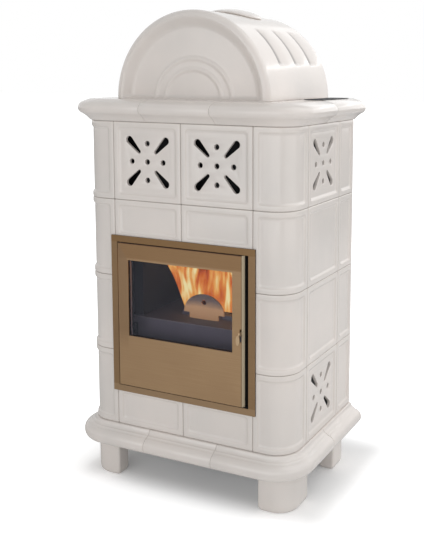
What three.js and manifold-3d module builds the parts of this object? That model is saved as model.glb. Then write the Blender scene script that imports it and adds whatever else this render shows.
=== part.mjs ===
// Tiled stove: a glazed ceramic body on four feet round a steel firebox, with a barrel-shaped hood on top.
// Millimetres, +Z up, -Y is the front. The origin is on the floor, under the middle of the whole stove.
import * as THREE from "three";
import { mergeVertices } from "three/addons/utils/BufferGeometryUtils.js";
import Module from "manifold-3d";

const wasm = await Module();
wasm.setup();

// ---- Driving dimensions -------------------------------------------------------------------------

// Tile module: every full tile is one module square, with joints on its grid.
const MODULE = 220;
const HALF_MODULE = MODULE / 2;
const ROWS = 4;
const SIDE_TILES = 1; // full tiles between the corner tile and the half tile on each side
const JOINT = 0.8; // width of the joint between two tiles
const SEAT = 0.3; // clearance where one piece rests on or in another
const TILE_WALL = 18;
const TILE_RIM = 15.5;
const TILE_BEVEL = 6;
const TILE_RECESS = 4;
const CORNER_RADIUS = 70;
const ARC_STEPS = 6;

// Pierced tiles: five round holes and four drop-shaped slots on the diagonals.
const PIERCE_HOLE_RADIUS = 7.5;
const PIERCE_HOLE_PITCH = 51;
const DROP_INNER_RADIUS = 5;
const DROP_OUTER_RADIUS = 10.5;
const DROP_INNER_REACH = 39;
const DROP_OUTER_REACH = 84;

// Feet: two thick legs round a corner on the wall line's curve, with a bevelled lower edge.
const FOOT_HEIGHT = 112;
const FOOT_FRONT_LENGTH = 100;
const FOOT_SIDE_LENGTH = 116;
const FOOT_WALL = 48; // thickness of each leg
const FOOT_RADIUS = 62;
const FOOT_INSET_FRONT = 10;
const FOOT_INSET_SIDE = 1;
const FOOT_BEVEL_RUN = 8;
const FOOT_BEVEL_HEIGHT = 16;

// Base moulding and cornice: heights, and how far each stands out from the tile face.
const BASE_HEIGHT = 58;
const BASE_OUT = 40;
const CORNICE_HEIGHT = 62;
const CORNICE_OUT = 38;
const MOULDING_INNER = 26; // how far a moulding reaches in from the tile face
const MOULDING_SPLIT_SIDE = MODULE; // depth at which a corner piece ends on the side
const PLATE_THICKNESS = 14; // the cornice's flat top
const PLATE_REACH = 124; // how far that top reaches in from the tile face
const PLATE_LAP = 20; // how far its edge lies inside the tile face, within the moulding

// Warm-air vents in the cornice top.
const VENT_WIDTH = 50;
const VENT_LENGTH = 182;
const VENT_FROM_HOOD = 25; // from the hood's side to the vent
const VENT_START = 8; // behind the moulding's side joint
const GRILLE_FLANGE = 4;
const GRILLE_THICKNESS = 2;
const GRILLE_SKIRT = 9;
const GRILLE_WALL = 2;
const GRILLE_SLOTS = 3;
const GRILLE_BAR = 5;

// Hood: a half barrel with a dished front and three flutes on each flank.
const HOOD_RADIUS = 243;
const HOOD_FRONT = 45; // its front, behind the tile face
const HOOD_LENGTH = 413;
const HOOD_WALL = 14;
const HOOD_FRONT_ROUND = 17;
const HOOD_REAR_ROUND = 12;
const HOOD_STEPS = 24;
const DISH_EDGE = 18; // width of the rim round the dish
const DISH_DEPTH = 14;
const DISH_SLOPE = 30; // width of the slope between the rim and the field
const DISH_SILL = 2;
const DISH_SILL_SLOPE = 8;
const ARCH_INNER_RADIUS = 89.5;
const ARCH_OUTER_RADIUS = 121.5;
const ARCH_BEAD_WIDTH = 18;
const ARCH_BEAD_HEIGHT = 4.5;
const FLUTE_WIDTH = 46;
const FLUTE_DEPTH = 8;
const FLUTE_PITCH = 102;
const FLUTE_FIRST = 120; // centre of the first flute, behind the hood's front
const FLUTE_LOW_ANGLE = 24;
const FLUTE_HIGH_ANGLE = 53;

// Lid on the crown of the hood, over a round hole.
const LID_RADIUS = 86;
const LID_EDGE = 6;
const LID_CROWN = 17;
const LID_BEHIND_FRONT = 245; // centre, behind the hood's front
const LID_HOLE_RADIUS = 70;
const LID_SPIGOT_CLEARANCE = 2;
const LID_SPIGOT_WALL = 6;
const LID_SPIGOT_DEPTH = 24;
const LID_SEAT = 0.6; // the lid's clearance over the barrel
const LID_SIDES = 24;

// Door surround, door, glass and handle.
const SURROUND_WIDTH = 460;
const SURROUND_HEIGHT = 456;
const SURROUND_CENTRE = 330; // height above the base moulding
const SURROUND_PROUD = 6; // the front of the surround and door, before the tile face
const SURROUND_OPENING = 420;
const SLEEVE_WALL = 4;
const SLEEVE_END = 58; // depth of the sleeve behind the tile face
const DOOR_GAP = 2;
const DOOR_FREE_GAP = 13.5; // beside the door's free edge
const DOOR_SHEET = 3;
const DOOR_FOLD_START = 6.5; // from the door's free edge to where the sheet folds back
const DOOR_FOLD_DEPTH = 7;
const DOOR_RETURN = 26; // depth of the door's free edge, front to back
const GLASS_VIEW_WIDTH = 336;
const GLASS_VIEW_HEIGHT = 220;
const GLASS_VIEW_SHIFT = 6.5; // off the middle, towards the hinges
const GLASS_VIEW_BOTTOM = 270; // height above the base moulding
const GLASS_LAP = 8;
const GLASS_THICKNESS = 4;
const RETAINER_THICKNESS = 10;
const RETAINER_LAP = 12;
const HINGE_PIN_RADIUS = 2.5;
const HINGE_PIN_LENGTH = 15;
const HINGE_CLEARANCE = 0.3;
const HINGE_FROM_EDGE = 8; // pin axis, in from the door's hinged edge
const HINGE_BEHIND_FACE = 5; // pin axis, behind the door's face
const LUG_WIDTH = 16;
const LUG_DEPTH = 12;
const LUG_HEIGHT = 20;
const SLOT_WIDTH = 5.4;
const SLOT_HEIGHT = 36;
const SLOT_CENTRE_HEIGHT = 320; // above the base moulding
const SLOT_FROM_FREE_EDGE = 9.5;
const LEVER_THICKNESS = 4;
const LEVER_DEPTH = 8;
const LEVER_PIVOT_BEHIND = 22; // pivot, behind the door's face
const LEVER_PIVOT_RISE = 6; // pivot, above the slot's centre
const LEVER_TAIL = 30;
const LEVER_REACH = 18; // the pad, before the door's face
const PAD_WIDTH = 11;
const PAD_HEIGHT = 28;
const PAD_THICKNESS = 3;
const PAD_DROP = 14; // the pad's centre, below the pivot
const PIVOT_PIN_RADIUS = 3;
const PIVOT_PIN_CLEARANCE = 0.4;
const BRACKET_SHEET = 3;
const BRACKET_GAP = 0.6;

// Firebox: a steel shell with linings, hearth, grate, log guard and baffle.
const SHELL_SHEET = 4;
const SHELL_HALF_WIDTH = 214;
const SHELL_FRONT = 58.3; // behind the tile face
const SHELL_BACK = 402;
const SHELL_TOP = 870; // heights here are above the base moulding
const SHELL_BOTTOM = 116;
const SHELL_MOUTH_MARGIN = 4; // the mouth is smaller than the surround's opening by this on each side
const HEARTH_TOP = 308;
const HEARTH_THICKNESS = 20;
const HEARTH_APRON_DROP = 58; // how far the apron under its front edge hangs below it
const HEARTH_APRON_THICKNESS = 10;
const HEARTH_RAIL = 18;
const GRATE_WELL_WIDTH = 150;
const GRATE_WELL_LENGTH = 170;
const GRATE_CENTRE = 235; // behind the tile face
const GRATE_LAP = 12;
const GRATE_THICKNESS = 12;
const GRATE_SLOTS = 6;
const GRATE_SLOT_WIDTH = 10;
const LINING_THICKNESS = 30;
const LINING_TOP = 560;
const LINING_FRONT = 74;
const LINING_GAP = 0.6;
const BAFFLE_THICKNESS = 12;
const BAFFLE_FRONT = 150;
const GUARD_DEPTH = 116; // behind the tile face
const GUARD_THICKNESS = 5;
const GUARD_WIDTH = 134;
const GUARD_HEIGHT = 73;
const GUARD_FOOT_WIDTH = 96;
const GUARD_FOOT_HEIGHT = 16;
const GUARD_TANG_WIDTH = 76;
const GUARD_TANG_DEPTH = 12;
const GUARD_TANG_CLEARANCE = 0.5;
const GUARD_EYE_RADIUS = 8;
const GUARD_EYE_HEIGHT = 49;
const PAN_HALF_WIDTH = 150;
const PAN_FRONT = 78;
const PAN_BACK = 370;
const PAN_HEIGHT = 64;
const PAN_SHEET = 3;
const PAN_RUNNER_HEIGHT = 24; // lifts the pan over the air slide
const PAN_RUNNER_WIDTH = 6;
const PAN_RUNNER_HALF_SPAN = 126;
const PAN_GRIP_WIDTH = 90;
const PAN_GRIP_DEPTH = 14;

// Air slide: a slotted bar lying over slots in the floor of the sleeve.
const AIR_BAR_LENGTH = 190;
const AIR_BAR_WIDTH = 24;
const AIR_BAR_THICKNESS = 4;
const AIR_BAR_DEPTH = 40; // its middle, behind the tile face
const AIR_SLOTS = 4;
const AIR_SLOT_LENGTH = 18;
const AIR_SLOT_WIDTH = 10;
const AIR_SLOT_PITCH = 40;
const AIR_KNOB_RADIUS = 4;
const AIR_KNOB_HEIGHT = 16;

// Base frame, rear panel and flue collar.
const FRAME_SHEET = 4;
const FRAME_WEB_FROM_SIDE = 20; // the web, in from the shell's side
const FRAME_WELL_WIDTH = 300;
const FRAME_WELL_MARGIN = 70;
const REAR_PANEL_DEPTH = 17.5;
const REAR_PANEL_SHEET = 2;
const REAR_PANEL_SIDE_INSET = 8;
const REAR_PANEL_RIM = 16;
const COLLAR_RADIUS = 75;
const COLLAR_WALL = 4;
const COLLAR_HEIGHT = 770; // axis above the base moulding
const COLLAR_END = 500; // behind the tile face
const COLLAR_FLANGE = 14;
const COLLAR_FLANGE_THICKNESS = 3;
const COLLAR_SPIGOT = 8; // length inside the shell
const COLLAR_SIDES = 24;

// ---- Derived places -----------------------------------------------------------------------------

const HALF_WIDTH = MODULE + HALF_MODULE;
const DEPTH = MODULE * (SIDE_TILES + 1);
const BODY_Z = FOOT_HEIGHT + BASE_HEIGHT;
const BODY_HEIGHT = ROWS * MODULE;
const CORNICE_Z = BODY_Z + BODY_HEIGHT;
const TOP_Z = CORNICE_Z + CORNICE_HEIGHT;
const HOOD_Z = TOP_Z + SEAT;
const HOOD_BACK = HOOD_FRONT + HOOD_LENGTH;
const LID_Y = HOOD_FRONT + LID_BEHIND_FRONT;
const FACE_Y = -SURROUND_PROUD;
const DOOR_SIZE = SURROUND_OPENING - 2 * DOOR_GAP;
const DOOR_HALF = DOOR_SIZE / 2;
const DOOR_FREE_X = SURROUND_OPENING / 2 - DOOR_FREE_GAP;
const DOOR_Z = BODY_Z + SURROUND_CENTRE;
const DOOR_BACK = FACE_Y + DOOR_SHEET;
const GLASS_VIEW_CENTRE = -GLASS_VIEW_SHIFT;
const GLASS_Z = BODY_Z + GLASS_VIEW_BOTTOM;
const GLASS_BACK = DOOR_BACK + SEAT + GLASS_THICKNESS;
const SLOT_X = DOOR_FREE_X - SLOT_FROM_FREE_EDGE;
const SLOT_Z = BODY_Z + SLOT_CENTRE_HEIGHT;
const PIVOT_Y = FACE_Y + LEVER_PIVOT_BEHIND;
const PIVOT_Z = SLOT_Z + LEVER_PIVOT_RISE;
const HINGE_X = -DOOR_HALF + HINGE_FROM_EDGE;
const HINGE_Y = FACE_Y + HINGE_BEHIND_FACE;
const SLEEVE_FLOOR_Z = DOOR_Z - SURROUND_OPENING / 2;
const SHELL_INNER = SHELL_HALF_WIDTH - SHELL_SHEET;
const SHELL_INNER_FRONT = SHELL_FRONT + SHELL_SHEET;
const SHELL_INNER_BACK = SHELL_BACK - SHELL_SHEET;
const SHELL_FLOOR_Z = BODY_Z + SHELL_BOTTOM + SHELL_SHEET;
const HEARTH_Z = BODY_Z + HEARTH_TOP;
const HEARTH_UNDER_Z = HEARTH_Z - HEARTH_THICKNESS;
const COLLAR_Z = BODY_Z + COLLAR_HEIGHT;
const VENT_IN_X = HOOD_RADIUS + VENT_FROM_HOOD;
const VENT_OUT_X = VENT_IN_X + VENT_WIDTH;
const VENT_Y0 = MOULDING_SPLIT_SIDE + VENT_START;
const VENT_Y1 = VENT_Y0 + VENT_LENGTH;
// Moves the front tile face so that the origin is under the middle of the whole depth.
const FRONT_FACE_Y = (BASE_OUT - COLLAR_END) / 2;

// ---- Finishes -----------------------------------------------------------------------------------

const finish = (color, roughness, metalness, more = {}) =>
  new THREE.MeshStandardMaterial({ color, roughness, metalness, ...more });
const GLAZE = finish(0xe8e2da, 0.2, 0);
const BRONZE = finish(0x8b7355, 0.35, 0.85);
const BLACK_STEEL = finish(0x2e2f33, 0.55, 0.5);
const CAST_IRON = finish(0x3a3a3c, 0.7, 0.6);
const SHEET_STEEL = finish(0x9a9da0, 0.45, 0.8);
const FIRECLAY = finish(0x4a4642, 0.9, 0);
const GLASS = finish(0x223038, 0.05, 0, { transparent: true, opacity: 0.35 });

// ---- Solids -------------------------------------------------------------------------------------

// A closed mesh as a solid: shared vertices are merged by position alone.
function solidOf(geometry) {
  const bare = new THREE.BufferGeometry();
  bare.setAttribute("position", geometry.getAttribute("position"));
  if (geometry.index) bare.setIndex(geometry.index);
  const merged = mergeVertices(bare, 1e-4);
  return new wasm.Manifold(
    new wasm.Mesh({
      numProp: 3,
      vertProperties: new Float32Array(merged.attributes.position.array),
      triVerts: new Uint32Array(merged.index.array),
    }),
  );
}

function geometryOf(solid) {
  const { vertProperties, triVerts } = solid.getMesh();
  const geometry = new THREE.BufferGeometry();
  geometry.setAttribute("position", new THREE.BufferAttribute(new Float32Array(vertProperties), 3));
  geometry.setIndex(new THREE.BufferAttribute(new Uint32Array(triVerts), 1));
  return geometry.toNonIndexed();
}

const join = (...geometries) => geometryOf(geometries.map(solidOf).reduce((a, b) => a.add(b)));
const cut = (geometry, ...tools) =>
  geometryOf(tools.map(solidOf).reduce((a, b) => a.subtract(b), solidOf(geometry)));

// The same solid on the other side of the stove, with its faces turned to point out again.
function mirrored(geometry) {
  const flat = geometry.index ? geometry.toNonIndexed() : geometry;
  const source = flat.getAttribute("position");
  const places = new Float32Array(source.count * 3);
  for (let i = 0; i < source.count; i += 3)
    [i, i + 2, i + 1].forEach((from, k) =>
      places.set([-source.getX(from), source.getY(from), source.getZ(from)], (i + k) * 3),
    );
  return new THREE.BufferGeometry().setAttribute("position", new THREE.BufferAttribute(places, 3));
}

function box(x0, x1, y0, y1, z0, z1) {
  const block = new THREE.BoxGeometry(x1 - x0, y1 - y0, z1 - z0);
  return block.translate((x0 + x1) / 2, (y0 + y1) / 2, (z0 + z1) / 2);
}

const quarter = (steps) => Array.from({ length: steps + 1 }, (_, i) => (Math.PI / 2) * (i / steps));
const outline = (points) => new THREE.Shape(points.map(([x, y]) => new THREE.Vector2(x, y)));
const extrude = (points, depth) =>
  new THREE.ExtrudeGeometry(outline(points), { depth, bevelEnabled: false, curveSegments: 1 });
const basis = (x, y, z) => new THREE.Matrix4().makeBasis(...[x, y, z].map((v) => new THREE.Vector3(...v)));

// Prisms along each axis. The outline is given in the two other axes, in X, Y, Z order.
const prismZ = (points, z0, z1) => extrude(points, z1 - z0).translate(0, 0, z0);
const prismY = (points, y0, y1) =>
  extrude(points, y1 - y0)
    .applyMatrix4(basis([1, 0, 0], [0, 0, 1], [0, -1, 0]))
    .translate(0, y1, 0);
const prismX = (points, x0, x1) =>
  extrude(points, x1 - x0)
    .applyMatrix4(basis([0, 1, 0], [0, 0, 1], [1, 0, 0]))
    .translate(x0, 0, 0);

const rodZ = (radius, x, y, z0, z1, sides = 12) =>
  new THREE.CylinderGeometry(radius, radius, z1 - z0, sides)
    .rotateX(Math.PI / 2)
    .translate(x, y, (z0 + z1) / 2);
const rodY = (radius, x, z, y0, y1, sides = 12) =>
  new THREE.CylinderGeometry(radius, radius, y1 - y0, sides).translate(x, (y0 + y1) / 2, z);
const rodX = (radius, y, z, x0, x1, sides = 12) =>
  new THREE.CylinderGeometry(radius, radius, x1 - x0, sides)
    .rotateZ(Math.PI / 2)
    .translate((x0 + x1) / 2, y, z);

// A closed skin through rings of equally many points; the first and last ring are filled flat.
function loft(rings) {
  const count = rings[0].length;
  const places = rings.flat(2);
  const faces = [];
  for (let i = 0; i + 1 < rings.length; i++)
    for (let j = 0; j < count; j++) {
      const a = i * count + j;
      const b = i * count + ((j + 1) % count);
      faces.push(a, b, b + count, a, b + count, a + count);
    }
  const cap = (ring) => {
    const spread = [0, Math.floor(count / 3), Math.floor((2 * count) / 3)];
    const [p, q, r] = spread.map((k) => new THREE.Vector3(...ring[k]));
    const normal = q.clone().sub(p).cross(r.clone().sub(p)).normalize();
    const u = q.sub(p).normalize();
    const v = normal.clone().cross(u);
    const flat = ring.map((point) => {
      const place = new THREE.Vector3(...point);
      return new THREE.Vector2(place.dot(u), place.dot(v));
    });
    return THREE.ShapeUtils.triangulateShape(flat, []);
  };
  const last = (rings.length - 1) * count;
  cap(rings[0]).forEach(([a, b, c]) => faces.push(a, c, b));
  cap(rings.at(-1)).forEach(([a, b, c]) => faces.push(last + a, last + b, last + c));
  const geometry = new THREE.BufferGeometry();
  geometry.setAttribute("position", new THREE.BufferAttribute(new Float32Array(places), 3));
  geometry.setIndex(faces);
  return solidOf(geometry).volume() < 0 ? turned(geometry) : geometry;
}

function turned(geometry) {
  const index = Array.from(geometry.index.array);
  for (let i = 0; i < index.length; i += 3) [index[i + 1], index[i + 2]] = [index[i + 2], index[i + 1]];
  return geometry.clone().setIndex(index);
}

// ---- The wall line ------------------------------------------------------------------------------

// The tile face in plan, as a length from the middle of the front: straight front, quarter arc, side.
const FRONT_RUN = HALF_WIDTH - CORNER_RADIUS;
const ARC_RUN = (CORNER_RADIUS * Math.PI) / 2;
const alongSide = (y) => FRONT_RUN + ARC_RUN + (y - CORNER_RADIUS);

function wallPoint(run, out) {
  if (run <= FRONT_RUN) return [run, -out];
  const angle = (run - FRONT_RUN) / CORNER_RADIUS;
  if (angle >= Math.PI / 2) return [HALF_WIDTH + out, CORNER_RADIUS + run - FRONT_RUN - ARC_RUN];
  const radius = CORNER_RADIUS + out;
  return [FRONT_RUN + radius * Math.sin(angle), CORNER_RADIUS - radius * Math.cos(angle)];
}

// Stations from one run to another, with even steps where the wall turns.
function stations(from, to, ...extra) {
  const arc = Array.from({ length: ARC_STEPS + 1 }, (_, i) => FRONT_RUN + (ARC_RUN * i) / ARC_STEPS);
  const inside = arc.filter((run) => run > from + 1 && run < to - 1);
  return [...new Set([from, ...inside, ...extra, to])].sort((a, b) => a - b);
}

// A wall piece of one thickness between two runs and two heights.
function wallShell(from, to, z0, z1, thickness) {
  const runs = stations(from, to);
  const face = runs.map((run) => wallPoint(run, 0));
  const back = runs.map((run) => wallPoint(run, -thickness)).reverse();
  return prismZ([...face, ...back], z0, z1);
}

// The sunk field of a tile: the rim stays, then a bevel leads down to the field.
function fieldCutter(from, to, z0, z1) {
  const over = 1;
  const lead = (TILE_BEVEL / TILE_RECESS) * over;
  const section = (run, out, inset) =>
    [
      [over * 2, z0 + TILE_RIM - lead],
      [over * 2, z1 - TILE_RIM + lead],
      [out, z1 - TILE_RIM - inset],
      [out, z0 + TILE_RIM + inset],
    ].map(([o, z]) => [...wallPoint(run, o), z]);
  const first = from + TILE_RIM + TILE_BEVEL;
  const last = to - TILE_RIM - TILE_BEVEL;
  return loft([
    section(from + TILE_RIM - lead, over, -lead),
    ...stations(first, last).map((run) => section(run, -TILE_RECESS, TILE_BEVEL)),
    section(to - TILE_RIM + lead, over, -lead),
  ]);
}

// A tile between two joint lines of the grid: half a joint is left on each edge.
function tile(from, to, z0, z1) {
  const [a, b, low, high] = [from + JOINT / 2, to - JOINT / 2, z0 + JOINT / 2, z1 - JOINT / 2];
  return cut(wallShell(a, b, low, high, TILE_WALL), fieldCutter(a, b, low, high));
}

// ---- Pierced pattern ----------------------------------------------------------------------------

// A drop along +U: a small round end near the middle and a larger one further out.
function dropOutline() {
  const arc = (centre, radius, from, to, steps) =>
    Array.from({ length: steps + 1 }, (_, i) => from + ((to - from) * i) / steps).map((angle) => [
      centre + radius * Math.cos(angle),
      radius * Math.sin(angle),
    ]);
  const tilt = Math.asin((DROP_OUTER_RADIUS - DROP_INNER_RADIUS) / (DROP_OUTER_REACH - DROP_INNER_REACH));
  const tangent = Math.PI / 2 + tilt;
  return [
    ...arc(DROP_OUTER_REACH, DROP_OUTER_RADIUS, -tangent, tangent, 6),
    ...arc(DROP_INNER_REACH, DROP_INNER_RADIUS, tangent, 2 * Math.PI - tangent, 3),
  ];
}

// The pattern's cutters, centred, through the tile wall. U is across, V is up, W is out of the face.
function pierceCutters(place) {
  const depth = TILE_WALL * 2;
  const rings = [[0, 0], [1, 0], [-1, 0], [0, 1], [0, -1]].map(([u, v]) =>
    new THREE.CylinderGeometry(PIERCE_HOLE_RADIUS, PIERCE_HOLE_RADIUS, depth, 10)
      .rotateX(Math.PI / 2)
      .translate(u * PIERCE_HOLE_PITCH, v * PIERCE_HOLE_PITCH, 0),
  );
  const drops = [1, 3, 5, 7].map((k) =>
    extrude(dropOutline(), depth)
      .translate(0, 0, -depth / 2)
      .rotateZ((k * Math.PI) / 4),
  );
  return [...rings, ...drops].map((cutter) => cutter.applyMatrix4(place));
}

const onFront = (x, z) => basis([1, 0, 0], [0, 0, 1], [0, -1, 0]).setPosition(x, 0, z);
const onSide = (y, z) => basis([0, 1, 0], [0, 0, 1], [1, 0, 0]).setPosition(HALF_WIDTH, y, z);

// ---- Assembly -----------------------------------------------------------------------------------

const stove = new THREE.Group();
stove.name = "tiled_stove";
stove.position.y = FRONT_FACE_Y;

function add(name, geometry, material) {
  const mesh = new THREE.Mesh(geometry, material);
  mesh.name = name;
  stove.add(mesh);
}

function addPair(name, geometry, material) {
  add(name + "_right", geometry, material);
  add(name + "_left", mirrored(geometry), material);
}

// Feet: the plan outline runs round both legs; the lower edge is drawn in by the bevel.
function footRing(z, draw) {
  const outX = HALF_WIDTH - FOOT_INSET_SIDE - draw;
  const frontY = FOOT_INSET_FRONT + draw;
  const inX = HALF_WIDTH - FOOT_INSET_SIDE - FOOT_FRONT_LENGTH + draw;
  const backY = FOOT_INSET_FRONT + FOOT_SIDE_LENGTH - draw;
  const radius = FOOT_RADIUS - draw;
  const arc = quarter(ARC_STEPS).map((angle) => [
    outX - radius + radius * Math.sin(angle),
    frontY + radius - radius * Math.cos(angle),
  ]);
  const legX = HALF_WIDTH - FOOT_INSET_SIDE - FOOT_WALL + draw;
  const legY = FOOT_INSET_FRONT + FOOT_WALL - draw;
  const inner = [[legX, backY], [legX, legY], [inX, legY]];
  return [[inX, frontY], ...arc, [outX, backY], ...inner].map(([x, y]) => [x, y, z]);
}

function foot() {
  return loft([
    footRing(0, FOOT_BEVEL_RUN),
    footRing(FOOT_BEVEL_HEIGHT / 3, FOOT_BEVEL_RUN / 3),
    footRing(FOOT_BEVEL_HEIGHT, 0),
    footRing(FOOT_HEIGHT - SEAT, 0),
  ]);
}

// A rear foot is a front foot turned end for end.
function rearFoot() {
  return mirrored(foot().rotateZ(Math.PI).translate(0, DEPTH, 0));
}

addPair("front_foot", foot(), GLAZE);
addPair("rear_foot", rearFoot(), GLAZE);

// Mouldings: a profile of [out, up] points carried along the wall line.
function moulding(profile, from, to, z) {
  const runs = stations(from + JOINT / 2, to - JOINT / 2);
  return loft(runs.map((run) => profile.map(([out, up]) => [...wallPoint(run, out), z + up])));
}

const BASE_PROFILE = [
  [-MOULDING_INNER, 0],
  [BASE_OUT * 0.73, 0],
  [BASE_OUT * 0.9, BASE_HEIGHT * 0.07],
  [BASE_OUT, BASE_HEIGHT * 0.21],
  [BASE_OUT, BASE_HEIGHT * 0.38],
  [BASE_OUT * 0.88, BASE_HEIGHT * 0.54],
  [BASE_OUT * 0.68, BASE_HEIGHT * 0.66],
  [BASE_OUT * 0.43, BASE_HEIGHT * 0.75],
  [BASE_OUT * 0.28, BASE_HEIGHT * 0.79],
  [BASE_OUT * 0.15, BASE_HEIGHT * 0.91],
  [BASE_OUT * 0.08, BASE_HEIGHT - SEAT],
  [-MOULDING_INNER, BASE_HEIGHT - SEAT],
];

const CORNICE_PROFILE = [
  [-MOULDING_INNER, SEAT],
  [CORNICE_OUT * 0.05, SEAT],
  [CORNICE_OUT * 0.16, CORNICE_HEIGHT * 0.05],
  [CORNICE_OUT * 0.47, CORNICE_HEIGHT * 0.23],
  [CORNICE_OUT * 0.91, CORNICE_HEIGHT * 0.4],
  [CORNICE_OUT, CORNICE_HEIGHT * 0.56],
  [CORNICE_OUT * 0.91, CORNICE_HEIGHT * 0.76],
  [CORNICE_OUT * 0.5, CORNICE_HEIGHT * 0.9],
  [CORNICE_OUT * 0.21, CORNICE_HEIGHT * 0.97],
  [0, CORNICE_HEIGHT],
  [-MOULDING_INNER, CORNICE_HEIGHT],
];

const SPLIT_RUN = alongSide(MOULDING_SPLIT_SIDE);
const REAR_RUN = alongSide(DEPTH) + JOINT / 2;

add("base_moulding_front", moulding(BASE_PROFILE, -HALF_MODULE, HALF_MODULE, FOOT_HEIGHT), GLAZE);
addPair("base_moulding_corner", moulding(BASE_PROFILE, HALF_MODULE, SPLIT_RUN, FOOT_HEIGHT), GLAZE);
addPair("base_moulding_side", moulding(BASE_PROFILE, SPLIT_RUN, REAR_RUN, FOOT_HEIGHT), GLAZE);

// The cornice's flat top is one plate with each moulding; the hood stands on it.
const PLATE_Z0 = TOP_Z - PLATE_THICKNESS;
const PLATE_INNER_X = HALF_WIDTH - PLATE_REACH;

function cornicePlateCorner() {
  const runs = stations(HALF_MODULE + JOINT / 2, SPLIT_RUN - JOINT / 2);
  const edge = runs.map((run) => wallPoint(run, -PLATE_LAP));
  const inner = [
    [PLATE_INNER_X, MOULDING_SPLIT_SIDE - JOINT / 2],
    [PLATE_INNER_X, PLATE_REACH],
    [HALF_MODULE + JOINT / 2, PLATE_REACH],
  ];
  return prismZ([...edge, ...inner], PLATE_Z0, TOP_Z);
}

const corniceFrontPlate = box(
  -HALF_MODULE + JOINT / 2,
  HALF_MODULE - JOINT / 2,
  PLATE_LAP,
  PLATE_REACH,
  PLATE_Z0,
  TOP_Z,
);
const corniceSidePlate = cut(
  box(PLATE_INNER_X, HALF_WIDTH - PLATE_LAP, MOULDING_SPLIT_SIDE + JOINT / 2, DEPTH, PLATE_Z0, TOP_Z),
  box(VENT_IN_X, VENT_OUT_X, VENT_Y0, VENT_Y1, PLATE_Z0 - 1, TOP_Z + 1),
);

function corniceSide() {
  const bar = moulding(CORNICE_PROFILE, SPLIT_RUN, REAR_RUN, CORNICE_Z);
  return cut(
    join(bar, corniceSidePlate),
    box(VENT_IN_X, VENT_OUT_X, VENT_Y0, VENT_Y1, CORNICE_Z - 1, TOP_Z + 1),
  );
}

add(
  "cornice_front",
  join(moulding(CORNICE_PROFILE, -HALF_MODULE, HALF_MODULE, CORNICE_Z), corniceFrontPlate),
  GLAZE,
);
addPair(
  "cornice_corner",
  join(moulding(CORNICE_PROFILE, HALF_MODULE, SPLIT_RUN, CORNICE_Z), cornicePlateCorner()),
  GLAZE,
);
addPair("cornice_side", corniceSide(), GLAZE);

// Vent grilles: a slotted sheet with a skirt that drops into the opening.
function ventGrille() {
  const [x0, x1, y0, y1] = [VENT_IN_X, VENT_OUT_X, VENT_Y0, VENT_Y1];
  const z = TOP_Z + SEAT;
  const sheet = box(
    x0 - GRILLE_FLANGE,
    x1 + GRILLE_FLANGE,
    y0 - GRILLE_FLANGE,
    y1 + GRILLE_FLANGE,
    z,
    z + GRILLE_THICKNESS,
  );
  const skirt = box(x0 + SEAT, x1 - SEAT, y0 + SEAT, y1 - SEAT, z - GRILLE_SKIRT, z + GRILLE_THICKNESS / 2);
  const [ix0, ix1, iy0, iy1] = [x0 + GRILLE_WALL, x1 - GRILLE_WALL, y0 + GRILLE_WALL, y1 - GRILLE_WALL];
  const well = box(ix0, ix1, iy0, iy1, z - GRILLE_SKIRT - 1, z);
  const slotWidth = (ix1 - ix0 - (GRILLE_SLOTS + 1) * GRILLE_BAR) / GRILLE_SLOTS;
  const slots = Array.from({ length: GRILLE_SLOTS }, (_, i) => {
    const left = ix0 + GRILLE_BAR + i * (slotWidth + GRILLE_BAR);
    return box(left, left + slotWidth, iy0 + GRILLE_BAR, iy1 - GRILLE_BAR, z - 1, z + GRILLE_THICKNESS + 1);
  });
  return cut(join(sheet, skirt), well, ...slots);
}

addPair("vent_grille", ventGrille(), BLACK_STEEL);

// Tiles, row by row from the bottom.
const rowZ = (row) => BODY_Z + (row - 1) * MODULE;
const cornerEnd = alongSide(HALF_MODULE);
const sideEnd = alongSide(HALF_MODULE + MODULE);
const middleOf = (row) => rowZ(row) + HALF_MODULE;

for (let row = 1; row <= ROWS; row++) {
  addPair(`corner_tile_${row}`, tile(MODULE, cornerEnd, rowZ(row), rowZ(row + 1)), GLAZE);
  const plain = tile(cornerEnd, sideEnd, rowZ(row), rowZ(row + 1));
  const pierced = row === 1 || row === ROWS;
  const side = pierced ? cut(plain, ...pierceCutters(onSide(MODULE, middleOf(row)))) : plain;
  addPair(`side_tile_${row}`, side, GLAZE);
}

const topTile = tile(0, MODULE, rowZ(ROWS), rowZ(ROWS + 1));
addPair("front_tile_top", cut(topTile, ...pierceCutters(onFront(HALF_MODULE, middleOf(ROWS)))), GLAZE);
addPair("front_tile_over_door", tile(0, MODULE, middleOf(ROWS - 1), rowZ(ROWS)), GLAZE);
addPair("front_tile_under_door", tile(0, MODULE, rowZ(1), middleOf(1)), GLAZE);

// The rear half tiles of one side are bonded into one column.
function rearColumn() {
  const [from, to] = [sideEnd + JOINT / 2, alongSide(DEPTH)];
  const wall = wallShell(from, to, BODY_Z + JOINT / 2, CORNICE_Z - JOINT / 2, TILE_WALL);
  const fields = Array.from({ length: ROWS }, (_, i) => fieldCutter(from, to, rowZ(i + 1), rowZ(i + 2)));
  return cut(wall, ...fields);
}

addPair("rear_tile_column", rearColumn(), GLAZE);

// ---- Hood and lid -------------------------------------------------------------------------------

// A half disc standing across the stove at one depth; a lift raises its flat edge off the base line.
function halfDisc(y, radius, lift = 0) {
  const start = Math.asin(lift / radius);
  const turn = (Math.PI - 2 * start) / HOOD_STEPS;
  return Array.from({ length: HOOD_STEPS + 1 }, (_, i) => start + turn * i).map((angle) => [
    radius * Math.cos(angle),
    y,
    HOOD_Z + radius * Math.sin(angle),
  ]);
}

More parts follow.
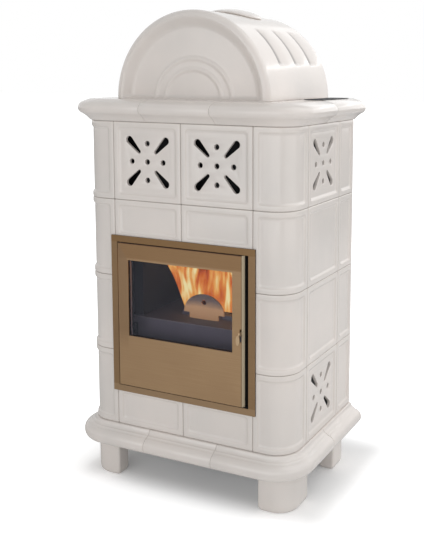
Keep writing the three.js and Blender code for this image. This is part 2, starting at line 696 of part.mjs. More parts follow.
// The barrel, with its front and rear edges rounded.
function barrel() {
  const rounded = (y, toward, radius, steps) =>
    quarter(steps).map((angle) =>
      halfDisc(y + toward * radius * (1 - Math.cos(angle)), HOOD_RADIUS - radius * (1 - Math.sin(angle))),
    );
  const front = rounded(HOOD_FRONT, 1, HOOD_FRONT_ROUND, 3);
  const rear = rounded(HOOD_BACK, -1, HOOD_REAR_ROUND, 2).reverse();
  return loft([...front, ...rear]);
}

// The hollow is one wall smaller and runs out at the bottom.
function hollow() {
  const radius = HOOD_RADIUS - HOOD_WALL;
  const arch = (y) => [...halfDisc(y, radius), [-radius, y, HOOD_Z - 1], [radius, y, HOOD_Z - 1]];
  return loft([arch(HOOD_FRONT + DISH_DEPTH + HOOD_WALL), arch(HOOD_BACK - HOOD_WALL)]);
}

// The dish in the front: a flat field with a hollow slope up to the rim and a short one down to the sill.
function dish() {
  const rimRadius = HOOD_RADIUS - DISH_EDGE;
  const steps = quarter(3).map((angle) => {
    const share = 1 - Math.cos(angle);
    const y = HOOD_FRONT + DISH_DEPTH * Math.sin(angle);
    return halfDisc(y, rimRadius - DISH_SLOPE * share, DISH_SILL + DISH_SILL_SLOPE * share);
  });
  return loft([halfDisc(HOOD_FRONT - 1, rimRadius, DISH_SILL), ...steps]);
}

// A half ring of rounded section standing on the dish's field.
function archBead(radius) {
  const y = HOOD_FRONT + DISH_DEPTH;
  const section = [
    [-ARCH_BEAD_WIDTH / 2, -1],
    [-ARCH_BEAD_WIDTH / 3, ARCH_BEAD_HEIGHT * 0.75],
    [0, ARCH_BEAD_HEIGHT],
    [ARCH_BEAD_WIDTH / 3, ARCH_BEAD_HEIGHT * 0.75],
    [ARCH_BEAD_WIDTH / 2, -1],
  ];
  const lift = DISH_SILL + DISH_SILL_SLOPE / 2;
  const start = Math.asin(lift / radius);
  const steps = 14;
  const angles = Array.from({ length: steps + 1 }, (_, i) => start + ((Math.PI - 2 * start) * i) / steps);
  return loft(
    angles.map((angle) =>
      section.map(([out, up]) => [
        (radius + out) * Math.cos(angle),
        y - up,
        HOOD_Z + (radius + out) * Math.sin(angle),
      ]),
    ),
  );
}

// A flute sunk into the flank, widest in the middle of its length, running round the barrel.
function flute(y) {
  const steps = 6;
  const across = 4;
  const low = THREE.MathUtils.degToRad(FLUTE_LOW_ANGLE);
  const high = THREE.MathUtils.degToRad(FLUTE_HIGH_ANGLE);
  const rings = Array.from({ length: steps + 1 }, (_, i) => {
    const along = i / steps;
    const swell = Math.pow(Math.sin(Math.PI * (0.04 + 0.92 * along)), 0.4);
    const angle = low + (high - low) * along;
    const section = Array.from({ length: across + 1 }, (_, k) => Math.PI * (k / across)).map((turn) => [
      -(FLUTE_WIDTH / 2) * swell * Math.cos(turn),
      1 - (FLUTE_DEPTH + 1) * swell * Math.sin(turn),
    ]);
    return section.map(([along2, up]) => [
      (HOOD_RADIUS + up) * Math.cos(angle),
      y + along2,
      HOOD_Z + (HOOD_RADIUS + up) * Math.sin(angle),
    ]);
  });
  return loft(rings);
}

const fluteDepths = [0, 1, 2].map((i) => HOOD_FRONT + FLUTE_FIRST + i * FLUTE_PITCH);
const flutes = fluteDepths.map(flute);
const lidHole = rodZ(
  LID_HOLE_RADIUS,
  0,
  LID_Y,
  HOOD_Z + HOOD_RADIUS / 2,
  HOOD_Z + HOOD_RADIUS * 2,
  LID_SIDES,
);

add(
  "hood",
  join(
    cut(barrel(), hollow(), dish(), lidHole, ...flutes, ...flutes.map(mirrored)),
    archBead(ARCH_INNER_RADIUS),
    archBead(ARCH_OUTER_RADIUS),
  ),
  GLAZE,
);

// The lid follows the barrel underneath and swells to the middle on top; its spigot hangs in the hole.
function lid() {
  const barrelTop = (x) => HOOD_Z + Math.sqrt(HOOD_RADIUS ** 2 - x ** 2);
  const under = (x) => barrelTop(x) + LID_SEAT;
  const swell = (radius) => (LID_CROWN - LID_EDGE) * (1 - (radius / LID_RADIUS) ** 2);
  const over = (x, radius) => barrelTop(x) + LID_EDGE + swell(radius);
  const spigotEnd = () => barrelTop(0) - LID_SPIGOT_DEPTH;
  const spigotOuter = LID_HOLE_RADIUS - LID_SPIGOT_CLEARANCE;
  const spigotInner = spigotOuter - LID_SPIGOT_WALL;
  const ringAt = (radius, height) =>
    Array.from({ length: LID_SIDES }, (_, i) => (2 * Math.PI * i) / LID_SIDES).map((angle) => {
      const x = radius * Math.cos(angle);
      return [x, LID_Y + radius * Math.sin(angle), height(x, radius)];
    });
  return loft([
    ringAt(LID_RADIUS * 0.35, under),
    ringAt(spigotInner, under),
    ringAt(spigotInner, spigotEnd),
    ringAt(spigotOuter, spigotEnd),
    ringAt(spigotOuter, under),
    ringAt(LID_RADIUS, under),
    ...[1, 0.88, 0.65, 0.35].map((share) => ringAt(LID_RADIUS * share, over)),
  ]);
}

add("hood_lid", lid(), GLAZE);

// ---- Door surround and door ---------------------------------------------------------------------

const openHalf = SURROUND_OPENING / 2;
const slab = (halfX, z0, z1, y0, y1) => box(-halfX, halfX, y0, y1, z0, z1);

function doorSurround() {
  const half = SURROUND_WIDTH / 2;
  const tall = SURROUND_HEIGHT / 2;
  const flange = slab(half, DOOR_Z - tall, DOOR_Z + tall, FACE_Y, -SEAT);
  const sleeveHalf = openHalf + SLEEVE_WALL;
  const sleeve = slab(sleeveHalf, DOOR_Z - sleeveHalf, DOOR_Z + sleeveHalf, -SEAT - 1, SLEEVE_END);
  const opening = slab(openHalf, DOOR_Z - openHalf, DOOR_Z + openHalf, FACE_Y - 1, SLEEVE_END + 1);
  const pins = [-1, 1].map((end) => {
    const edge = DOOR_Z + end * (openHalf + 1);
    const tip = DOOR_Z + end * (openHalf - HINGE_PIN_LENGTH);
    return rodZ(HINGE_PIN_RADIUS, HINGE_X, HINGE_Y, Math.min(edge, tip), Math.max(edge, tip), 16);
  });
  const airSlots = airSlotPlaces().map((x) =>
    box(
      x - AIR_SLOT_LENGTH / 2,
      x + AIR_SLOT_LENGTH / 2,
      AIR_BAR_DEPTH - AIR_SLOT_WIDTH / 2,
      AIR_BAR_DEPTH + AIR_SLOT_WIDTH / 2,
      SLEEVE_FLOOR_Z - SLEEVE_WALL - 1,
      SLEEVE_FLOOR_Z + 1,
    ),
  );
  return join(cut(join(flange, sleeve), opening, ...airSlots), ...pins);
}

function airSlotPlaces() {
  return Array.from({ length: AIR_SLOTS }, (_, i) => (i - (AIR_SLOTS - 1) / 2) * AIR_SLOT_PITCH);
}

add("door_surround", doorSurround(), BRONZE);

// The door sheet folds back along its free edge; hinge lugs stand behind its hinged edge.
function doorPanel() {
  const fold = DOOR_FREE_X - DOOR_FOLD_START;
  const edgeFace = FACE_Y + DOOR_FOLD_DEPTH;
  const plan = [
    [-DOOR_HALF, FACE_Y],
    [fold, FACE_Y],
    [DOOR_FREE_X, edgeFace],
    [DOOR_FREE_X, FACE_Y + DOOR_RETURN],
    [DOOR_FREE_X - DOOR_SHEET, FACE_Y + DOOR_RETURN],
    [DOOR_FREE_X - DOOR_SHEET, edgeFace + DOOR_SHEET / 2],
    [fold - DOOR_SHEET / 2, DOOR_BACK],
    [-DOOR_HALF, DOOR_BACK],
  ];
  const sheet = prismZ(plan, DOOR_Z - DOOR_HALF, DOOR_Z + DOOR_HALF);
  const lugs = [-1, 1].map((end) => {
    const edge = DOOR_Z + end * DOOR_HALF;
    const inner = DOOR_Z + end * (DOOR_HALF - LUG_HEIGHT);
    return box(
      -DOOR_HALF,
      -DOOR_HALF + LUG_WIDTH,
      DOOR_BACK - 1,
      FACE_Y + LUG_DEPTH,
      Math.min(edge, inner),
      Math.max(edge, inner),
    );
  });
  const bores = [-1, 1].map((end) => {
    const mouth = DOOR_Z + end * (DOOR_HALF + 1);
    const floor = DOOR_Z + end * (openHalf - HINGE_PIN_LENGTH - HINGE_CLEARANCE * 2);
    const radius = HINGE_PIN_RADIUS + HINGE_CLEARANCE;
    return rodZ(radius, HINGE_X, HINGE_Y, Math.min(mouth, floor), Math.max(mouth, floor), 16);
  });
  const view = box(
    GLASS_VIEW_CENTRE - GLASS_VIEW_WIDTH / 2,
    GLASS_VIEW_CENTRE + GLASS_VIEW_WIDTH / 2,
    FACE_Y - 1,
    DOOR_BACK + 1,
    GLASS_Z,
    GLASS_Z + GLASS_VIEW_HEIGHT,
  );
  const slot = box(
    SLOT_X - SLOT_WIDTH / 2,
    SLOT_X + SLOT_WIDTH / 2,
    FACE_Y - 1,
    FACE_Y + DOOR_FOLD_DEPTH,
    SLOT_Z - SLOT_HEIGHT / 2,
    SLOT_Z + SLOT_HEIGHT / 2,
  );
  return cut(join(sheet, ...lugs, ...pivotEars()), view, slot, ...bores, pivotBore());
}

// Two ears behind the sheet carry the handle's pivot.
function pivotEars() {
  const gap = LEVER_THICKNESS / 2 + BRACKET_GAP;
  const tall = LEVER_DEPTH;
  return [-1, 1].map((side) => {
    const near = SLOT_X + side * gap;
    const far = SLOT_X + side * (gap + BRACKET_SHEET);
    return box(
      Math.min(near, far),
      Math.max(near, far),
      DOOR_BACK - 1,
      PIVOT_Y + LEVER_DEPTH,
      PIVOT_Z - tall,
      PIVOT_Z + tall,
    );
  });
}

function pivotBore() {
  const reach = LEVER_THICKNESS / 2 + BRACKET_GAP + BRACKET_SHEET + 1;
  const radius = PIVOT_PIN_RADIUS + PIVOT_PIN_CLEARANCE;
  return rodX(radius, PIVOT_Y, PIVOT_Z, SLOT_X - reach, SLOT_X + reach);
}

add("door_panel", doorPanel(), BRONZE);

const glassHalfX = GLASS_VIEW_WIDTH / 2 + GLASS_LAP;
add(
  "door_glass",
  box(
    GLASS_VIEW_CENTRE - glassHalfX,
    GLASS_VIEW_CENTRE + glassHalfX,
    DOOR_BACK + SEAT,
    GLASS_BACK,
    GLASS_Z - GLASS_LAP,
    GLASS_Z + GLASS_VIEW_HEIGHT + GLASS_LAP,
  ),
  GLASS,
);

// The retainer laps the glass on its back and leaves the view open.
function glassRetainer() {
  const outer = GLASS_VIEW_WIDTH / 2 + RETAINER_LAP;
  const [y0, y1] = [GLASS_BACK + SEAT, GLASS_BACK + SEAT + RETAINER_THICKNESS];
  const frame = box(
    GLASS_VIEW_CENTRE - outer,
    GLASS_VIEW_CENTRE + outer,
    y0,
    y1,
    GLASS_Z - RETAINER_LAP,
    GLASS_Z + GLASS_VIEW_HEIGHT + RETAINER_LAP,
  );
  const view = box(
    GLASS_VIEW_CENTRE - GLASS_VIEW_WIDTH / 2,
    GLASS_VIEW_CENTRE + GLASS_VIEW_WIDTH / 2,
    y0 - 1,
    y1 + 1,
    GLASS_Z,
    GLASS_Z + GLASS_VIEW_HEIGHT,
  );
  return cut(frame, view);
}

add("glass_retainer", glassRetainer(), BLACK_STEEL);

// The handle: a flat lever through the slot, with an oval pad outside and a heavy latch tail inside.
function doorHandle() {
  const half = LEVER_DEPTH / 2;
  const padY = FACE_Y - LEVER_REACH;
  const profile = [
    [PIVOT_Y + LEVER_TAIL, PIVOT_Z - LEVER_DEPTH * 1.6],
    [PIVOT_Y + LEVER_TAIL, PIVOT_Z + half],
    [PIVOT_Y, PIVOT_Z + half],
    [FACE_Y - LEVER_DEPTH, PIVOT_Z + half],
    [padY + PAD_THICKNESS, PIVOT_Z - LEVER_DEPTH],
    [padY + PAD_THICKNESS / 2, PIVOT_Z - PAD_DROP],
    [padY + PAD_THICKNESS + 2, PIVOT_Z - PAD_DROP],
    [FACE_Y - LEVER_DEPTH / 2, PIVOT_Z - half],
    [PIVOT_Y + LEVER_TAIL - LEVER_DEPTH, PIVOT_Z - half],
    [PIVOT_Y + LEVER_TAIL - LEVER_DEPTH, PIVOT_Z - LEVER_DEPTH * 1.6],
  ];
  const arm = prismX(profile, SLOT_X - LEVER_THICKNESS / 2, SLOT_X + LEVER_THICKNESS / 2);
  const oval = Array.from({ length: 16 }, (_, i) => (2 * Math.PI * i) / 16).map((angle) => [
    SLOT_X + (PAD_WIDTH / 2) * Math.cos(angle),
    PIVOT_Z - PAD_DROP + (PAD_HEIGHT / 2) * Math.sin(angle),
  ]);
  const pad = prismY(oval, padY, padY + PAD_THICKNESS);
  const reach = LEVER_THICKNESS / 2 + BRACKET_GAP + BRACKET_SHEET;
  const pin = rodX(PIVOT_PIN_RADIUS, PIVOT_Y, PIVOT_Z, SLOT_X - reach, SLOT_X + reach);
  return join(arm, pad, pin);
}

add("door_handle", doorHandle(), BRONZE);

// ---- Firebox ------------------------------------------------------------------------------------

const mouthHalf = openHalf - SHELL_MOUTH_MARGIN;

function fireboxShell() {
  const [z0, z1] = [BODY_Z + SHELL_BOTTOM, BODY_Z + SHELL_TOP];
  const outer = box(-SHELL_HALF_WIDTH, SHELL_HALF_WIDTH, SHELL_FRONT, SHELL_BACK, z0, z1);
  const inner = box(
    -SHELL_INNER,
    SHELL_INNER,
    SHELL_INNER_FRONT,
    SHELL_INNER_BACK,
    SHELL_FLOOR_Z,
    z1 - SHELL_SHEET,
  );
  const mouth = box(
    -mouthHalf,
    mouthHalf,
    SHELL_FRONT - 1,
    SHELL_INNER_FRONT + 1,
    DOOR_Z - mouthHalf,
    DOOR_Z + mouthHalf,
  );
  const flueHole = rodY(
    COLLAR_RADIUS + SEAT,
    0,
    COLLAR_Z,
    SHELL_INNER_BACK - 1,
    SHELL_BACK + 1,
    COLLAR_SIDES,
  );
  const rails = [-1, 1].map((side) => {
    const [a, b] = [side * (SHELL_INNER + 1), side * (SHELL_INNER - HEARTH_RAIL)];
    return box(
      Math.min(a, b),
      Math.max(a, b),
      SHELL_INNER_FRONT - 1,
      SHELL_INNER_BACK + 1,
      HEARTH_UNDER_Z - SHELL_SHEET - SEAT,
      HEARTH_UNDER_Z - SEAT,
    );
  });
  const runners = [-1, 1].map((side) => {
    const [a, b] = [side * PAN_RUNNER_HALF_SPAN, side * (PAN_RUNNER_HALF_SPAN - PAN_RUNNER_WIDTH)];
    return box(
      Math.min(a, b),
      Math.max(a, b),
      SHELL_INNER_FRONT - 1,
      SHELL_INNER_BACK + 1,
      SHELL_FLOOR_Z - 1,
      SHELL_FLOOR_Z + PAN_RUNNER_HEIGHT,
    );
  });
  return join(cut(outer, inner, mouth, flueHole), ...rails, ...runners);
}

add("firebox_shell", fireboxShell(), BLACK_STEEL);

const wellHalf = GRATE_WELL_WIDTH / 2;
const well = (clearance, z0, z1) =>
  box(
    -wellHalf + clearance,
    wellHalf - clearance,
    GRATE_CENTRE - GRATE_WELL_LENGTH / 2 + clearance,
    GRATE_CENTRE + GRATE_WELL_LENGTH / 2 - clearance,
    z0,
    z1,
  );

// The tang under the log guard, and with a clearance the slot in the hearth that it stands in.
const guardTang = (clearance, z0, z1) =>
  box(
    -GUARD_TANG_WIDTH / 2 - clearance,
    GUARD_TANG_WIDTH / 2 + clearance,
    GUARD_DEPTH - clearance,
    GUARD_DEPTH + GUARD_THICKNESS + clearance,
    z0,
    z1,
  );

// The hearth lies on the shell's rails; an apron hangs between them, over the mouth of the ash pit.
function hearthPlate() {
  const front = SHELL_INNER_FRONT + LINING_GAP;
  const plate = box(
    -SHELL_INNER + LINING_GAP,
    SHELL_INNER - LINING_GAP,
    front,
    SHELL_INNER_BACK - LINING_GAP,
    HEARTH_UNDER_Z,
    HEARTH_Z,
  );
  const apronHalf = SHELL_INNER - HEARTH_RAIL - LINING_GAP;
  const apron = box(
    -apronHalf,
    apronHalf,
    front,
    front + HEARTH_APRON_THICKNESS,
    HEARTH_UNDER_Z - HEARTH_APRON_DROP,
    HEARTH_UNDER_Z + 1,
  );
  return cut(
    join(plate, apron),
    well(0, HEARTH_UNDER_Z - 1, HEARTH_Z + 1),
    guardTang(GUARD_TANG_CLEARANCE, HEARTH_UNDER_Z - 1, HEARTH_Z + 1),
  );
}

add("hearth_plate", hearthPlate(), CAST_IRON);

// The grate laps the hearth's well; a shallow rib round its underside drops into the well.
function fireGrate() {
  const z = HEARTH_Z + SEAT;
  const plate = well(-GRATE_LAP, z, z + GRATE_THICKNESS);
  const plug = well(SEAT * 3, z - GRATE_THICKNESS / 2, z + 1);
  const pitch = GRATE_WELL_WIDTH / GRATE_SLOTS;
  const slots = Array.from({ length: GRATE_SLOTS }, (_, i) => {
    const x = -wellHalf + pitch * (i + 0.5);
    return box(
      x - GRATE_SLOT_WIDTH / 2,
      x + GRATE_SLOT_WIDTH / 2,
      GRATE_CENTRE - GRATE_WELL_LENGTH / 2 + GRATE_LAP,
      GRATE_CENTRE + GRATE_WELL_LENGTH / 2 - GRATE_LAP,
      z - GRATE_THICKNESS,
      z + GRATE_THICKNESS + 1,
    );
  });
  return cut(join(plate, plug), ...slots);
}

add("fire_grate", fireGrate(), CAST_IRON);

const liningInner = SHELL_INNER - LINING_GAP - LINING_THICKNESS;
const liningZ0 = HEARTH_Z + SEAT;
const liningZ1 = BODY_Z + LINING_TOP;
addPair(
  "lining",
  box(
    liningInner,
    SHELL_INNER - LINING_GAP,
    LINING_FRONT,
    SHELL_INNER_BACK - LINING_GAP,
    liningZ0,
    liningZ1,
  ),
  FIRECLAY,
);
add(
  "lining_rear",
  box(
    -liningInner + LINING_GAP,
    liningInner - LINING_GAP,
    SHELL_INNER_BACK - LINING_GAP - LINING_THICKNESS,
    SHELL_INNER_BACK - LINING_GAP,
    liningZ0,
    liningZ1,
  ),
  FIRECLAY,
);
add(
  "baffle_plate",
  box(
    -SHELL_INNER + LINING_GAP,
    SHELL_INNER - LINING_GAP,
    BAFFLE_FRONT,
    SHELL_INNER_BACK - LINING_GAP,
    liningZ1 + SEAT,
    liningZ1 + SEAT + BAFFLE_THICKNESS,
  ),
  FIRECLAY,
);

// The log guard: an arched plate on a narrower foot, with one round lifting eye.
function logGuard() {
  const z = HEARTH_Z + SEAT;
  const shoulder = z + GUARD_FOOT_HEIGHT;
  const rise = GUARD_HEIGHT - GUARD_FOOT_HEIGHT;
  const arch = Array.from({ length: 17 }, (_, i) => (Math.PI * i) / 16).map((angle) => [
    (GUARD_WIDTH / 2) * Math.cos(angle),
    shoulder + rise * Math.sin(angle),
  ]);
  const foot = [
    [-GUARD_FOOT_WIDTH / 2, shoulder],
    [-GUARD_FOOT_WIDTH / 2, z],
    [GUARD_FOOT_WIDTH / 2, z],
    [GUARD_FOOT_WIDTH / 2, shoulder],
  ];
  const plate = prismY([...arch, ...foot], GUARD_DEPTH, GUARD_DEPTH + GUARD_THICKNESS);
  const eye = rodY(
    GUARD_EYE_RADIUS,
    0,
    z + GUARD_EYE_HEIGHT,
    GUARD_DEPTH - 1,
    GUARD_DEPTH + GUARD_THICKNESS + 1,
  );
  return cut(join(plate, guardTang(0, HEARTH_Z - GUARD_TANG_DEPTH, z + 1)), eye);
}

add("log_guard", logGuard(), CAST_IRON);

// The ash pan: an open tray with a grip along the top of its front.
function ashPan() {
  const z = SHELL_FLOOR_Z + PAN_RUNNER_HEIGHT + SEAT;
  const tray = box(-PAN_HALF_WIDTH, PAN_HALF_WIDTH, PAN_FRONT, PAN_BACK, z, z + PAN_HEIGHT);
  const grip = box(
    -PAN_GRIP_WIDTH / 2,
    PAN_GRIP_WIDTH / 2,
    PAN_FRONT - PAN_GRIP_DEPTH,
    PAN_FRONT + 1,
    z + PAN_HEIGHT - PAN_SHEET,
    z + PAN_HEIGHT,
  );
  const inside = box(
    -PAN_HALF_WIDTH + PAN_SHEET,
    PAN_HALF_WIDTH - PAN_SHEET,
    PAN_FRONT + PAN_SHEET,
    PAN_BACK - PAN_SHEET,
    z + PAN_SHEET,
    z + PAN_HEIGHT + 1,
  );
  return cut(join(tray, grip), inside);
}

add("ash_pan", ashPan(), SHEET_STEEL);

// The air slide lies on the sleeve's floor; its slots meet the floor's slots at rest.
function airSlide() {
  const z = SLEEVE_FLOOR_Z + SEAT;
  const bar = box(
    -AIR_BAR_LENGTH / 2,
    AIR_BAR_LENGTH / 2,
    AIR_BAR_DEPTH - AIR_BAR_WIDTH / 2,
    AIR_BAR_DEPTH + AIR_BAR_WIDTH / 2,
    z,
    z + AIR_BAR_THICKNESS,
  );
  const slots = airSlotPlaces().map((x) =>
    box(
      x - AIR_SLOT_LENGTH / 2,
      x + AIR_SLOT_LENGTH / 2,
      AIR_BAR_DEPTH - AIR_SLOT_WIDTH / 2,
      AIR_BAR_DEPTH + AIR_SLOT_WIDTH / 2,
      z - 1,
      z + AIR_BAR_THICKNESS + 1,
    ),
  );
  const knob = rodZ(AIR_KNOB_RADIUS, 0, AIR_BAR_DEPTH, z + 1, z + AIR_BAR_THICKNESS + AIR_KNOB_HEIGHT);
  return join(cut(bar, ...slots), knob);
}

add("air_slide", airSlide(), SHEET_STEEL);

// ---- Frame, rear panel and flue collar ----------------------------------------------------------

// The base frame lies on the feet inside the moulding; its two webs carry the shell.
function baseFrame() {
  const inset = MOULDING_INNER + LINING_GAP;
  const half = HALF_WIDTH - inset;
  const plate = box(-half, half, inset, DEPTH, FOOT_HEIGHT, FOOT_HEIGHT + FRAME_SHEET);
  const hole = box(
    -FRAME_WELL_WIDTH / 2,
    FRAME_WELL_WIDTH / 2,
    inset + FRAME_WELL_MARGIN,
    DEPTH - FRAME_WELL_MARGIN,
    FOOT_HEIGHT - 1,
    FOOT_HEIGHT + FRAME_SHEET + 1,
  );
  const corner = CORNER_RADIUS - inset;
  const round = [-1, 1].map((side) => cornerTrim(side, half, inset, corner));
  const webs = [-1, 1].map((side) => {
    const x = side * (SHELL_HALF_WIDTH - FRAME_WEB_FROM_SIDE);
    return box(
      x - FRAME_SHEET / 2,
      x + FRAME_SHEET / 2,
      SHELL_FRONT,
      SHELL_BACK,
      FOOT_HEIGHT + FRAME_SHEET / 2,
      BODY_Z + SHELL_BOTTOM - SEAT,
    );
  });
  return join(cut(plate, hole, ...round), ...webs);
}

// What is taken off a square corner to leave a quarter round.
function cornerTrim(side, half, edge, radius) {
  const arc = quarter(ARC_STEPS).map((angle) => [
    side * (half - radius + radius * Math.sin(angle)),
    edge + radius - radius * Math.cos(angle),
  ]);
  const square = [
    [side * (half + 1), edge + radius],
    [side * (half + 1), edge - 1],
    [side * (half - radius), edge - 1],
  ];
  const points = [...arc, ...square];
  return prismZ(side > 0 ? points : points.reverse(), FOOT_HEIGHT - 1, FOOT_HEIGHT + FRAME_SHEET + 1);
}

add("base_frame", baseFrame(), SHEET_STEEL);

function rearPanel() {
  const half = HALF_WIDTH - REAR_PANEL_SIDE_INSET;
  const [y0, y1] = [DEPTH + SEAT, DEPTH + REAR_PANEL_DEPTH];
  const [z0, z1] = [FOOT_HEIGHT, TOP_Z];
  const pan = box(-half, half, y0, y1, z0, z1);
  const inside = box(
    -half + REAR_PANEL_RIM,
    half - REAR_PANEL_RIM,
    y0 - 1,
    y1 - REAR_PANEL_SHEET,
    z0 + REAR_PANEL_RIM,
    z1 - REAR_PANEL_RIM,
  );
  const flueHole = rodY(COLLAR_RADIUS + JOINT, 0, COLLAR_Z, y0 - 1, y1 + 1, COLLAR_SIDES);
  return cut(pan, inside, flueHole);
}

add("rear_panel", rearPanel(), SHEET_STEEL);

function flueCollar() {
  const [inner, outer] = [COLLAR_RADIUS - COLLAR_WALL, COLLAR_RADIUS];
  const tube = rodY(outer, 0, COLLAR_Z, SHELL_BACK - COLLAR_SPIGOT, COLLAR_END, COLLAR_SIDES);
  const flangeY = SHELL_BACK + SEAT;
  const flange = rodY(
    outer + COLLAR_FLANGE,
    0,
    COLLAR_Z,
    flangeY,
    flangeY + COLLAR_FLANGE_THICKNESS,
    COLLAR_SIDES,
  );
  const bore = rodY(inner, 0, COLLAR_Z, SHELL_BACK - COLLAR_SPIGOT - 1, COLLAR_END + 1, COLLAR_SIDES);
  return cut(join(tube, flange), bore);
}

add("flue_collar", flueCollar(), BLACK_STEEL);

export default stove;
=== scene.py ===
# Dresses the tiled stove: glazed ceramic pieces with their pressed fields, rolled mouldings and domed hood,
# a bronze door with its glass, and the fire behind it. A piece is worked out in millimetres and then placed;
# the camera, the lamps and the patterns of the finishes are in metres.
import math

import bmesh
import bpy
import numpy as np
from mathutils import Matrix, Vector
from mathutils.geometry import tessellate_polygon


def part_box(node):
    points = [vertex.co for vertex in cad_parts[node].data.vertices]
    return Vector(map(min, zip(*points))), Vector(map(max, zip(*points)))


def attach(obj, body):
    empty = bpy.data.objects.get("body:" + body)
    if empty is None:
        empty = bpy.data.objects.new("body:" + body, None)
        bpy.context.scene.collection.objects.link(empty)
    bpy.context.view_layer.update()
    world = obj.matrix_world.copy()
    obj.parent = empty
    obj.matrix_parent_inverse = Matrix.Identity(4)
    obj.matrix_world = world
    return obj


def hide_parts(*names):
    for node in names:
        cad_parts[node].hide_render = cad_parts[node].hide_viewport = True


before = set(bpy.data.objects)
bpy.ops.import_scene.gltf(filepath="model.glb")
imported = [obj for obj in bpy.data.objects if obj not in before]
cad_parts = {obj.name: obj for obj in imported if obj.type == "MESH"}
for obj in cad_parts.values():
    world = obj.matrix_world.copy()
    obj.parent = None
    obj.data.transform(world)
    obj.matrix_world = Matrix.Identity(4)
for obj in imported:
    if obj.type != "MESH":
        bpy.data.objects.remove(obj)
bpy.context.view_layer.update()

# ---- Camera -------------------------------------------------------------------------------------
# The camera stands in front of the stove, to the right, a little below the level of its top. It looks down
# on the stove through a long lens, and its shift gives the stove its place in the picture.


def added(name, data):
    """A new object in the scene."""
    made = bpy.data.objects.new(name, data)
    bpy.context.scene.collection.objects.link(made)
    return made


camera_place = Vector((1.221, -2.137, 1.190))
camera_turn = math.radians(24.825)  # to the left of straight ahead
camera_dip = math.radians(7.082)
camera_roll = math.radians(0.402)
camera_data = bpy.data.cameras.new("camera")
camera_data.lens = 54.862
camera_data.sensor_width = 36.0
camera_data.shift_x = -0.15
camera_data.shift_y = -0.18
camera = added("camera", camera_data)
camera.rotation_mode = "QUATERNION"
aim = Matrix.Rotation(camera_turn, 4, "Z") @ Matrix.Rotation(math.pi / 2 - camera_dip, 4, "X")
camera.matrix_world = Matrix.Translation(camera_place) @ aim @ Matrix.Rotation(camera_roll, 4, "Z")
bpy.context.scene.camera = camera
bpy.context.scene.view_settings.view_transform = "Standard"

# ---- Glaze --------------------------------------------------------------------------------------
# Every ceramic piece carries one thick, warm white glaze. It draws thin over the edges, and its surface
# waves slightly, as a dipped glaze does. In the hood's flutes it is darkened by painted shade, with some
# pooled glaze.


def linear(red, green, blue):
    """A colour given as 0 to 255 values, as the shader wants it."""
    share = np.array([red, green, blue]) / 255
    light = np.where(share <= 0.04045, share / 12.92, ((share + 0.055) / 1.055) ** 2.4)
    return (*light.tolist(), 1.0)


class Wire:
    """A socket in a material; sums on it add Math nodes."""

    def __init__(self, finish, socket):
        self.finish = finish
        self.socket = socket

    def __add__(self, other):
        return self.finish.numbers("ADD", self, other)

    def __sub__(self, other):
        return self.finish.numbers("SUBTRACT", self, other)

    def __rsub__(self, other):
        return self.finish.numbers("SUBTRACT", other, self)

    def __mul__(self, other):
        return self.finish.numbers("MULTIPLY", self, other)

    __radd__ = __add__
    __rmul__ = __mul__


